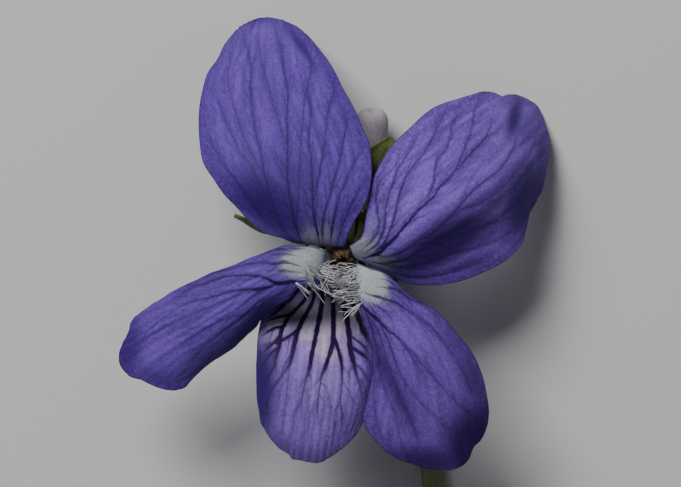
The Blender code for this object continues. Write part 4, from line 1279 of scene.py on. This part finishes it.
def roll_tube(name, path, radii, around, rings, ridges=0.0):
    """A sheet rolled into a closed round body along a smooth path."""
    sheet, u, v = new_sheet(name, around, rings)
    sideways, up = square_to(way_along(path, v, TUBE_STEP), UNLIKE_TUBES)
    turn = 2 * math.pi * u
    wide = spline(radii, v) * (1 + ridges * np.cos(RIDGE_COUNT * turn))
    out = np.cos(turn)[:, None] * sideways + np.sin(turn)[:, None] * up
    place_points(sheet, in_metres(spline(path, v) + wide[:, None] * out))
    close = lambda: bpy.ops.mesh.remove_doubles(threshold=0.0005 * MM)
    cap = lambda: bpy.ops.mesh.fill_holes(sides=0)
    outwards = lambda: bpy.ops.mesh.normals_make_consistent(inside=False)
    edit_all(sheet, close, cap, outwards)
    bpy.ops.object.shade_smooth_by_angle(angle=SHARP)
    return sheet


def make_stamen(name, turn, seed):
    """A strip bent round the axis, with two pollen sacs, a thin flap and perhaps a nectar horn."""
    rng = np.random.default_rng(seed)
    sheet, u, v = new_sheet(name + "_soft", *STAMEN_GRID)
    across = 2 * u - 1
    wavy = 1 + TIP_WAVES * smooth(v, *TIP_WAVES_FROM) * waves(u, 2 * v, rng, 8, 4, 1)
    radius = spline(STAMEN_RADII, v) + EVERY_OTHER_WIDER * (seed % 2)
    sacs = SAC_DEPTH * np.exp(-(((np.abs(across) - SAC_AT) / SAC_WIDE) ** 2))
    sacs *= smooth(v, *SAC_STARTS)
    sacs *= 1 - smooth(v, *SAC_ENDS)
    reach = spline(STAMEN_REACH, v) + TIP_LONGER * smooth(v, *TIP_LONGER_FROM) * rng.normal()
    angle = turn + across * spline(STAMEN_HALF_ANGLES, v)
    angle = angle + TIP_TURNS * rng.normal() * smooth(v, *TIP_TURNS_FROM)
    place_points(sheet, in_metres(on_axis(reach, (radius + sacs) * wavy, angle)))
    mark(sheet, "along", v)
    mark(sheet, "across", u)
    thicken(sheet, STAMEN_THICK)
    if name in NECTAR_HORNS:
        aside = NECTAR_HORNS[name]
        path = [
            on_axis(1.0, 0.95, turn), (0.24 + 1.6 * aside, -0.10, 4.95), (0.24 + aside, -0.45, 3.90),
            (0.27 + aside, 0.10, 2.65), (0.34 + aside, 0.60, 2.30),
        ]
        horn = roll_tube(name + "_horn", path, HORN_RADII, 10, 24)
        pick(sheet)
        horn.select_set(True)
        bpy.ops.object.join()
    return smoothed(sheet)


stamens = {name: make_stamen(name, turn, STAMEN_SEED + k) for k, (name, turn) in enumerate(STAMENS.items())}
print("stamens:", len(stamens), "faces each:", len(stamens["stamen_top"].data.polygons))

# %% Pistil
PISTIL_REACH = [0.05, 0.45, 0.95, 1.40, 1.75, 2.00, 2.20, 2.40, 2.60, 2.75]
PISTIL_RADII = [0.20, 0.34, 0.40, 0.30, 0.16, 0.13, 0.12, 0.13, 0.15, 0.02]
pistil = roll_tube("pistil_soft", [on_axis(reach, 0.0, 0.0) for reach in PISTIL_REACH], PISTIL_RADII, 20, 40)
print("pistil faces:", len(pistil.data.polygons))

# %% [markdown]
# ## Sepals, stem and bracts
# The sepals are narrow pointed leaves with a raised midrib. The stem is a juicy, faintly ribbed stalk
# that hooks over behind the flower and lies on the surface; two small bracts sit on it. A flat outline
# given thickness would look cut from card, so a leaf is a sheet along its middle line, hollow across,
# which the same steps as a petal's make into a closed piece. Each reaches into what carries it.

# %% Leaves
SEPALS = {
    "sepal_top": [
        (0.26, 3.7, 4.75), (0.3, 3.52, 5.25), (0.8, 4.02, 5.7), (1.66, 5.2, 5.55), (2.46, 6.2, 4.9),
    ],
    "sepal_left": [
        (-1.55, 2.65, 4.15), (-1.7, 2.4, 4.75), (-2.6, 2.05, 5.15), (-3.95, 1.72, 5.05),
        (-5.42, 2.32, 4.55),
    ],
    "sepal_right": [
        (2.03, 2.65, 4.15), (2.18, 2.4, 4.75), (3.0, 2.35, 5.1), (4.4, 2.1, 5.0), (5.8, 1.7, 4.5),
    ],
    "sepal_lower_left": [
        (-1.32, 0.85, 3.36), (-1.42, 0.52, 3.85), (-2.02, -0.15, 4.2), (-2.75, -1.1, 4.4),
        (-3.45, -2.1, 4.45),
    ],
    "sepal_lower_right": [
        (1.86, 0.85, 3.36), (1.95, 0.52, 3.85), (2.25, -0.35, 4.2), (2.42, -1.55, 4.4), (2.58, -2.85, 4.45),
    ],
}
SEPAL_HALF_WIDTHS = [0.30, 0.44, 0.56, 0.50, 0.30, 0.02]
TOP_SEPAL_HALF_WIDTHS = [0.30, 0.44, 0.60, 0.60, 0.60, 0.52, 0.16]
BRACTS = {
    "bract_left": [
        (3.75, -16.95, 0.7), (3.05, -16.35, 0.72), (2.32, -15.2, 0.6), (1.88, -13.7, 0.45),
        (1.75, -12.2, 0.22),
    ],
    "bract_right": [
        (3.8, -19.15, 0.7), (4.62, -18.5, 0.72), (5.26, -17.4, 0.6), (5.68, -16.0, 0.45),
        (5.9, -14.6, 0.22),
    ],
}
STEM_TOP = np.array((0.25, 1.75, 4.40))
BRACT_HALF_WIDTHS = [0.30, 0.38, 0.28, 0.14, 0.02]
SEPAL_THICK = 0.22
SEPAL_CUP, BRACT_CUP, SEPAL_SEED, BRACT_SEED = 0.10, 0.03, 80, 90
RIB_DEPTH, RIB_WIDE, LEAF_SWELL, LEAF_RIM = 0.05, 0.16, 0.02, 0.4
LEAF_GRID, EDGE_WAVES, THICK_SLOPE = (24, 80), 0.03, 1.3


def make_leaf(name, path, half_widths, cup, seed):
    """A pointed strip along its middle line, hollow across, with a raised rib."""
    rng = np.random.default_rng(seed)
    sheet, u, v = new_sheet(name + "_soft", *LEAF_GRID)
    run = np.array(path[-1]) - np.array(path[-4])
    sideways = np.array((run[1], -run[0], 0.0)) / math.hypot(run[0], run[1])
    across = 2 * u - 1
    wide = spline(half_widths, v) * (1 + EDGE_WAVES * waves(u, 5 * v, rng, 6, 3, 1))
    points = spline(path, v) + (wide * across)[:, None] * sideways
    points[:, 2] += cup * across**2 - RIB_DEPTH * np.exp(-((across / RIB_WIDE) ** 2)) * (1 - v)
    points[:, 2] += LEAF_SWELL * waves(u, 3 * v, rng, 8, 4, 1)
    place_points(sheet, in_metres(points))
    if normals_of(sheet)[:, 2].mean() < 0:
        edit_all(sheet, bpy.ops.mesh.flip_normals)
    mark(sheet, "along", v)
    mark(sheet, "across", u)
    weights = np.clip(THICK_SLOPE * (1 - np.abs(across)), 0, 1)
    thicken(sheet, SEPAL_THICK, weights, LEAF_RIM, RIM_BEVEL)
    return smoothed(sheet)


leaves = {}
for k, (name, path) in enumerate(SEPALS.items()):
    widths = TOP_SEPAL_HALF_WIDTHS if name == "sepal_top" else SEPAL_HALF_WIDTHS
    inwards = np.array(path[0]) - STEM_TOP
    path = [(STEM_TOP + inwards / np.linalg.norm(inwards)).tolist(), *path]
    leaves[name] = make_leaf(name, path, widths, SEPAL_CUP, SEPAL_SEED + k)
for k, (name, path) in enumerate(BRACTS.items()):
    leaves[name] = make_leaf(name, path, BRACT_HALF_WIDTHS, BRACT_CUP, BRACT_SEED + k)
print("leaves:", ", ".join(leaves))

# %% Stem
STEM = [
    (0.24, 1.64, 4.66), (0.26, 1.8, 4.35), (0.4, 2.12, 3.82), (0.92, 2.52, 3.38), (1.72, 2.72, 2.92),
    (2.5, 2.58, 2.22), (2.85, 1.85, 1.4), (2.55, 0.7, 0.8), (2.05, -0.5, 0.6), (1.85, -1.7, 0.6),
    (2.15, -3.4, 0.6), (3.05, -5.8, 0.6), (4.05, -8.5, 0.6), (4.6, -11.3, 0.6), (4.4, -15.0, 0.6),
    (3.3, -19.5, 0.6), (1.4, -24.0, 0.6), (-1.2, -28.2, 0.6),
]
STEM_RADII = [1.2, 1.15, 0.66] + [0.585] * 15
stem = roll_tube("stem_soft", STEM, STEM_RADII, 60, 420, ridges=0.035)
print("stem faces:", len(stem.data.polygons))

# %% [markdown]
# ## Finishes
# Every finish is worked out from maths, so no picture is needed. A small class wraps a socket so that
# sums can be written as sums: adding or multiplying two values makes the Math node for it. Everything
# else goes through one method that takes a node's type, its settings and what its sockets hold.

# %% Shader maths
class Value:
    """A socket in a material. Sums on it make the Math nodes."""

    def __init__(self, finish, socket):
        self.finish, self.socket = finish, socket

    def maths(self, operation, *values, clamp=False):
        return self.finish.node("ShaderNodeMath", {"operation": operation, "use_clamp": clamp}, *values)

    def __add__(self, other):
        return self.maths("ADD", self, other)

    def __sub__(self, other):
        return self.maths("SUBTRACT", self, other)

    def __rsub__(self, other):
        return self.maths("SUBTRACT", other, self)

    def __mul__(self, other):
        return self.maths("MULTIPLY", self, other)

    __radd__ = __add__
    __rmul__ = __mul__

    def clamped(self):
        return self.maths("ADD", self, 0.0, clamp=True)

    def without_sign(self):
        return self.maths("ABSOLUTE", self)


class Finish:
    """A material of one kind of tissue, built on the Principled shader."""

    def __init__(self, name):
        self.material = bpy.data.materials.new(name)
        self.material.use_nodes = True
        self.tree = self.material.node_tree
        self.shader = self.tree.nodes["Principled BSDF"]

    def put(self, socket, value):
        """Links a value to the socket, or sets the socket to a constant."""
        if isinstance(value, Value):
            self.tree.links.new(value.socket, socket)
        else:
            socket.default_value = value

    def node(self, kind, settings=None, *values, output=0, **named):
        """A new node with its settings, and values for its sockets in order or by name."""
        made = self.tree.nodes.new(kind)
        for key, setting in (settings or {}).items():
            setattr(made, key, setting)
        for socket, value in zip(made.inputs, values):
            self.put(socket, value)
        for key, value in named.items():
            self.put(made.inputs[key.replace("_", " ")], value)
        return Value(self, made.outputs[output])

    def marked(self, name):
        """The number that the piece keeps at each point under this name."""
        return self.node("ShaderNodeAttribute", {"attribute_name": name}, output="Fac")

    def mix(self, first, second, share):
        """The first colour where the share is 0, and the second where it is 1."""
        made = self.tree.nodes.new("ShaderNodeMix")
        made.data_type = "RGBA"
        self.put(made.inputs["Factor"], share)
        for socket, colour in ((made.inputs[6], first), (made.inputs[7], second)):
            self.put(socket, colour if isinstance(colour, Value) else (*colour, 1.0))
        return Value(self, made.outputs[2])

    def step(self, value, low, high):
        """0 below low, 1 above high, and a soft step between."""
        settings = {"interpolation_type": "SMOOTHSTEP"}
        return self.node("ShaderNodeMapRange", settings, value, low, high, 0.0, 1.0)

    def noise(self, places, scale, detail=3.0, rough=0.5, output="Fac"):
        named = {"Vector": places, "Scale": scale, "Detail": detail, "Roughness": rough}
        return self.node("ShaderNodeTexNoise", output=output, **named)

    def streaks(self, across, along, detail=3.0, rough=0.6):
        """Noise that is stretched along the sheet, like the fibres of a plant."""
        stretched = self.node("ShaderNodeMapping", Vector=self.places("UV"), Scale=(across, along, 1.0))
        return self.noise(stretched, 1.0, detail, rough)

    def cells(self, places, scale, feature="F1"):
        settings = {"feature": feature}
        return self.node("ShaderNodeTexVoronoi", settings, Vector=places, Scale=scale, output="Distance")

    def places(self, kind="Object"):
        """The points in the piece's own frame, or on its sheet with the kind UV."""
        return self.node("ShaderNodeTexCoord", output=kind)

    def bump(self, height, strength, distance):
        return self.node("ShaderNodeBump", Height=height, Strength=strength, Distance=distance)

    def set(self, **sockets):
        for key, value in sockets.items():
            self.put(self.shader.inputs[key.replace("_", " ")], value)
        return self.material


def give(finish, *pieces):
    """Gives the pieces this finish alone."""
    for piece in pieces:
        piece.data.materials.clear()
        piece.data.materials.append(finish)


print("finishes are sums of sockets, such as noise, cells and marks")

# %% [markdown]
# ## Petal tissue
# A violet's petal is velvety: its skin is a carpet of tiny domes that scatter light and sparkle, and
# light also passes through. The violet deepens where pigment gathers, and its darker zones and margins
# also hold painted shade where the petal folds or turns from the light. It fades in pale streaks between
# the veins, and gives way to greenish white at the throat.

# %% Petal finish: colours by petal, and the sizes of its patterns in metres
CELL = 0.000085
LIGHT_VIOLET = {
    "upper_petal_left": (0.142, 0.070, 0.440),
    "upper_petal_right": (0.260, 0.146, 0.680),
    "side_petal_left": (0.162, 0.085, 0.475),
    "side_petal_right": (0.208, 0.108, 0.545),
    "lower_petal": (0.255, 0.165, 0.590),
}
# the darkest violet of the pigment, also the colour of the painted shade in the darker zones, at the margin
# and at the rim
DEEP_AND_SHADED_VIOLET = {
    "upper_petal_left": (0.034, 0.012, 0.150),
    "upper_petal_right": (0.046, 0.017, 0.170),
    "side_petal_left": (0.050, 0.020, 0.185),
    "side_petal_right": (0.030, 0.012, 0.112),
    "lower_petal": (0.030, 0.013, 0.125),
}
THROAT_WHITE = {
    "side_petal_left": (0.36, 0.41, 0.43),
    "side_petal_right": (0.38, 0.43, 0.44),
    "upper_petal_left": (0.185, 0.190, 0.265),
    "upper_petal_right": (0.235, 0.240, 0.320),
    "lower_petal": (0.50, 0.455, 0.585),
}
THROAT_TINT = {
    "side_petal_left": (0.20, 0.21, 0.36),
    "side_petal_right": (0.20, 0.21, 0.36),
    "upper_petal_left": (0.105, 0.095, 0.240),
    "upper_petal_right": (0.180, 0.170, 0.360),
    "lower_petal": (0.36, 0.26, 0.56),
}
VEIN_DARK = {
    "upper_petal_left": (0.018, 0.006, 0.080),
    "upper_petal_right": (0.014, 0.005, 0.065),
    "side_petal_left": (0.012, 0.004, 0.052),
    "side_petal_right": (0.014, 0.005, 0.060),
    "lower_petal": (0.020, 0.0015, 0.052),
}
NET = 0.00030
FADES = {"upper_petal_left": (0.12, 0.85), "upper_petal_right": (0.15, 0.85), "side_petal_left": (0.20, 0.75),
         "side_petal_right": (0.20, 0.75), "lower_petal": (0.08, 0.98)}
NET_AT_MARGIN = {"upper_petal_left": 0.45, "upper_petal_right": 0.30, "side_petal_left": 0.22,
                 "side_petal_right": 0.18, "lower_petal": 0.15}
BEND_BY = 0.00022
# how many waves of noise lie in a metre, and how many streaks lie across and along a petal
BROAD, MOTTLE, SPECKLE, BENDS = 520.0, 5200.0, 15000.0, 2600.0
STREAKS, FINE_STREAKS = (26.0, 3.2), (90.0, 14.0)


def shaded(share, colour):
    """A colour times a share, and so darker or lighter."""
    return tuple(share * c for c in colour)


def petal_finish(name):
    """The skin of one petal. Its colours go from the violet over the throat's white to the veins."""
    f = Finish("violet " + name.replace("_", " "))
    places = f.places()
    veins, halo, valley, rim = f.marked("vein"), f.marked("halo"), f.marked("valley"), f.marked("rim")
    white, deep, shade, back = f.marked("white"), f.marked("deep"), f.marked("shade"), f.marked("back")
    aside = f.marked("aside").without_sign()
    light, dark = LIGHT_VIOLET[name], DEEP_AND_SHADED_VIOLET[name]

    # patterns: broad patches, streaks, the domes' cells, grains and a net of the finest veins
    broad = f.noise(places, BROAD, 3.0)
    streak = f.streaks(*STREAKS)
    fine = f.streaks(*FINE_STREAKS, 2.0)
    grain = f.cells(places, 1 / CELL)
    mottle = f.noise(places, MOTTLE, 2.0, 0.6)
    speckle = f.noise(places, SPECKLE, 2.0, 0.7)
    bends = f.noise(places, BENDS, 2.0, 0.5, "Color")
    bends = f.node("ShaderNodeVectorMath", {"operation": "SCALE"}, bends, Scale=BEND_BY)
    bent = f.node("ShaderNodeVectorMath", {"operation": "ADD"}, places, bends)
    net = 1.0 - f.step(f.cells(bent, 1 / NET, "DISTANCE_TO_EDGE"), 0.0, 0.14)

    # the violet, which deepens in the zones and at the margin, partly as darker pigment and partly as painted
    # shade where the petal folds, rolls or turns from the light
    pale = f.step(0.30 * broad + 0.20 * mottle + 0.50 * streak - 0.10 * valley, 0.34, 0.60)
    colour = f.mix(shaded(0.66, light), light, pale)
    pigment_and_shade = f.step(deep + 0.30 * (broad - 0.5) + 0.40 * (streak - 0.5), 0.05, 0.95)
    colour = f.mix(colour, dark, pigment_and_shade)
    margin = 1.0 - f.step(rim + 0.25 * (broad - 0.5), 0.05, 1.15)
    colour = f.mix(colour, dark, margin * 0.35)

    # the throat's greenish white, then the net and the shadow along each vein
    fade = f.step(white + 0.50 * (streak - 0.5) + 0.30 * (fine - 0.5), *FADES[name])
    throat = f.mix(THROAT_TINT[name], THROAT_WHITE[name], f.step(fade + 0.5 * (mottle - 0.5), 0.35, 0.95))
    colour = f.mix(colour, throat, fade)
    netted = net * (0.10 + NET_AT_MARGIN[name] * margin) * (1.0 - 0.8 * fade)
    colour = f.mix(colour, dark, netted)
    colour = f.mix(colour, dark, (halo * 0.38 + valley * 0.20) * (1.0 - 0.60 * fade))
    if name == "lower_petal":
        bloom = f.mix((0.235, 0.205, 0.215), (0.33, 0.31, 0.27), f.step(broad, 0.40, 0.60))
        colour = f.mix(colour, bloom, f.marked("spur"))

    # the veins themselves, with ragged edges, and the dark rim, a thin line partly of darker pigment and
    # partly of painted shade along the edge
    near = f.step(f.marked("close"), 0.48, 0.70)
    ragged = 0.35 if name == "lower_petal" else 0.60
    lines = (1.0 - f.step(aside + ragged * (mottle - 0.5), 0.70, 1.45)) * near * (0.12 + 1.00 * veins)
    colour = f.mix(colour, VEIN_DARK[name], lines.clamped() * (1.0 - 0.70 * back))
    edge = 1.0 - f.step(rim, 0.015, 0.075)
    colour = f.mix(colour, shaded(0.5, dark), edge * 0.75)

    # the paler back, grains of lighter and darker tone, and the painted shadow of the shade zones
    colour = f.mix(colour, tuple(0.5 + 0.5 * c for c in light), back * 0.25)
    speck = (0.50 + 1.00 * speckle) * (0.86 + 0.50 * (1.0 - grain) * mottle) * (1.0 - 0.82 * shade)
    dimmed = f.node("ShaderNodeCombineColor", None, speck, speck, speck)
    colour = f.node("ShaderNodeVectorMath", {"operation": "MULTIPLY"}, colour, dimmed)

    # the relief of the streaks and veins, with the domes on top of it
    skin = f.bump(fine + 0.6 * streak - 0.4 * net - 0.4 * lines, 0.20, 0.00004)
    domes = f.bump((1.0 - grain) + 0.8 * speckle, 0.45, 0.00002)
    f.put(domes.socket.node.inputs["Normal"], skin)
    return f.set(Base_Color=colour, Roughness=0.50 + 0.16 * mottle, Normal=domes, Specular_IOR_Level=0.12,
                 Subsurface_Weight=0.12, Subsurface_Scale=0.00030, Subsurface_Radius=(0.7, 0.45, 1.0),
                 Sheen_Weight=0.04, Sheen_Roughness=0.45, Sheen_Tint=(0.66, 0.60, 1.0, 1.0))


for name, petal in petals.items():
    give(petal_finish(name), petal)
print("petal finishes:", len(petals))

# %% [markdown]
# ## The other tissues
# Hairs are clear and shiny. Sepals and stem are leafy greens with lengthwise fibres. The stamens are
# olive outside and turn orange brown at their flaps. One green for all would look like plastic, so
# each tissue mixes two colours by its fibres, which are noise stretched along the sheet.

# %% Other finishes
def hair_finish():
    """Clear and glossy, from grey to white by each hair's own mark; the greys are partly random tone and
    partly painted shade on the shaded tufts.
    """
    f = Finish("beard hair")
    tint = 0.25 * f.noise(f.places(), 3000.0, 2.0) + 0.75 * f.marked("white")
    colour = f.mix((0.07, 0.078, 0.09), (0.80, 0.81, 0.83), tint)
    return f.set(Base_Color=colour, Roughness=0.16, Specular_IOR_Level=0.9, Subsurface_Weight=0.15,
                 Subsurface_Scale=0.00006, Subsurface_Radius=(1.0, 1.0, 1.0))


def leaf_finish(name, light, dark, pale_margin):
    """Green by its fibres, with a pale margin and a pale rib."""
    f = Finish(name)
    fibres = f.streaks(26.0, 2.2)
    mottle = f.noise(f.places(), 3800.0, 3.0, 0.6)
    from_rib = (2.0 * f.marked("across") - 1.0).without_sign()
    colour = f.mix(dark, light, f.step(0.6 * fibres + 0.4 * mottle, 0.32, 0.68))
    colour = f.mix(colour, pale_margin, f.step(from_rib + 0.1 * (mottle - 0.5), 0.86, 1.0) * 0.6)
    colour = f.mix(colour, shaded(1.35, light), (1.0 - f.step(from_rib, 0.04, 0.16)) * 0.45)
    return f.set(Base_Color=colour, Roughness=0.45 + 0.15 * mottle,
                 Normal=f.bump(fibres + 0.6 * mottle, 0.5, 0.00003),
                 Subsurface_Weight=0.12, Subsurface_Scale=0.0003, Subsurface_Radius=(0.5, 1.0, 0.3))


def stem_finish():
    """A juicy green with a faint blush, yellower where it meets the flower."""
    f = Finish("stem skin")
    places = f.places()
    fibres = f.streaks(40.0, 5.0)
    mottle = f.noise(places, 2600.0, 3.0, 0.6)
    blush = f.noise(places, 160.0, 2.0)
    green = f.step(0.55 * fibres + 0.45 * mottle, 0.30, 0.70)
    colour = f.mix((0.105, 0.150, 0.040), (0.200, 0.265, 0.080), green)
    colour = f.mix(colour, (0.16, 0.09, 0.11), f.step(blush, 0.50, 0.75) * 0.5)
    along = f.node("ShaderNodeSeparateXYZ", Vector=f.places("UV"), output="Y")
    colour = f.mix((0.36, 0.40, 0.12), colour, f.step(along, 0.08, 0.20))
    return f.set(Base_Color=colour, Roughness=0.38 + 0.2 * mottle,
                 Normal=f.bump(fibres + 0.4 * mottle, 0.5, 0.00004),
                 Subsurface_Weight=0.15, Subsurface_Scale=0.0004, Subsurface_Radius=(0.5, 1.0, 0.3))


def stamen_finish():
    """Olive sacs and an orange-brown flap."""
    f = Finish("stamen")
    fibres = f.streaks(18.0, 2.5, rough=0.7)
    mottle = f.noise(f.places(), 6000.0, 3.0, 0.6)
    olive = f.step(0.5 * fibres + 0.5 * mottle, 0.3, 0.7)
    body = f.mix((0.150, 0.170, 0.030), (0.380, 0.400, 0.085), olive)
    brown = f.step(0.8 * fibres + 0.3 * mottle, 0.42, 0.72)
    flap = f.mix((0.016, 0.008, 0.004), (0.112, 0.054, 0.018), brown)
    colour = f.mix(body, flap, f.step(f.marked("along"), 0.62, 0.74))
    skin = f.bump(fibres + mottle, 0.6, 0.00004)
    return f.set(Base_Color=colour, Roughness=0.5 + 0.2 * mottle, Normal=skin)


def pistil_finish():
    """Pale green, slightly mottled."""
    f = Finish("pistil")
    mottle = f.noise(f.places(), 4200.0, 3.0, 0.6)
    colour = f.mix((0.30, 0.36, 0.12), (0.55, 0.60, 0.28), f.step(mottle, 0.35, 0.65))
    return f.set(Base_Color=colour, Roughness=0.4 + 0.1 * mottle, Normal=f.bump(mottle, 0.4, 0.00003))


sepal_green = leaf_finish("sepal", (0.092, 0.110, 0.013), (0.030, 0.038, 0.004), (0.11, 0.12, 0.035))
give(hair_finish(), *beards)
give(sepal_green, *leaves.values())
give(stem_finish(), stem)
give(stamen_finish(), *stamens.values())
give(pistil_finish(), pistil)
print("finishes in all:", len(bpy.data.materials))

# %% [markdown]
# ## What each piece stands for
# Each soft piece replaces the plain solid of its part and moves with the flower's one body. The beards
# are extra: they ride along with nothing to replace.

# %% Riding and replacing
SLOTS = {"petal": petals, "stamen": stamens, "sepal": leaves}
for slot, pieces in SLOTS.items():
    for node, piece in pieces.items():
        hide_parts(node)
        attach(piece, "root")
for node, piece in {"stem": stem, "pistil": pistil}.items():
    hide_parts(node)
    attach(piece, "root")
for beard in beards:
    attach(beard, "root")
print("riding on root:", len(petals) + len(stamens) + len(leaves) + len(beards) + 2)

# %% [markdown]
# ## Floor, light and camera
# A plain pale floor and one large soft light from the flower's upper left give its shading, with a
# weak even sky to fill the shadows. Several lamps would give several shadows, which daylight doesn't.
# The camera looks straight down on the flower through a long lens.

# %% Studio
IMAGE = (681, 487)
VIEW_WIDE = 0.05 * MM * IMAGE[0]
VIEW_MIDDLE = in_metres((-0.125, 0.925, 6.0))
CAMERA_UP = 0.60
FLOOR_SIZE, FLOOR_DROP = 4.0, 0.00002
LIGHT_WAY = Vector((-0.36, 0.58, 0.73)).normalized()
LIGHT_DISTANCE, LIGHT_SIZE, LIGHT_WATTS, LIGHT_TINT = 0.40, 0.20, 1.85, (1.0, 0.985, 0.96)
SKY_TINT, SKY_STRENGTH = (0.92, 0.96, 1.0, 1.0), 0.13
SENSOR = 36.0

bpy.ops.mesh.primitive_plane_add(size=FLOOR_SIZE, location=(0, 0, -FLOOR_DROP))
floor = bpy.context.object
floor.name = "floor"
paper = Finish("pale floor")
give(paper.set(Base_Color=(0.60, 0.605, 0.615, 1.0), Roughness=0.85, Specular_IOR_Level=0.1), floor)

light = bpy.data.lights.new("key light", "AREA")
light.size, light.energy, light.color = LIGHT_SIZE, LIGHT_WATTS, LIGHT_TINT
lamp = bpy.data.objects.new("key light", light)
bpy.context.scene.collection.objects.link(lamp)
lamp.location = Vector(VIEW_MIDDLE) + LIGHT_WAY * LIGHT_DISTANCE
lamp.rotation_mode = "QUATERNION"
lamp.rotation_quaternion = LIGHT_WAY.to_track_quat("Z", "Y")

world = bpy.data.worlds.new("sky")
bpy.context.scene.world = world
world.use_nodes = True
world.node_tree.nodes["Background"].inputs["Color"].default_value = SKY_TINT
world.node_tree.nodes["Background"].inputs["Strength"].default_value = SKY_STRENGTH

lens = bpy.data.cameras.new("camera")
lens.sensor_width = SENSOR
lens.lens = SENSOR * CAMERA_UP / VIEW_WIDE
lens.clip_start, lens.clip_end = 0.01, 10.0
camera = bpy.data.objects.new("camera", lens)
bpy.context.scene.collection.objects.link(camera)
camera.location = (VIEW_MIDDLE[0], VIEW_MIDDLE[1], VIEW_MIDDLE[2] + CAMERA_UP)
camera.rotation_euler = (0.0, 0.0, 0.0)
bpy.context.scene.camera = camera
print("lens:", round(lens.lens), "mm")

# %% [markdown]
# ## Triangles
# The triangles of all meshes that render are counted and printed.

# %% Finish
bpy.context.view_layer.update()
total = sum(len(p.vertices) - 2 for o in bpy.context.scene.objects if o.type == "MESH" and not o.hide_render
            for p in o.data.polygons)
print("triangles in all:", total)
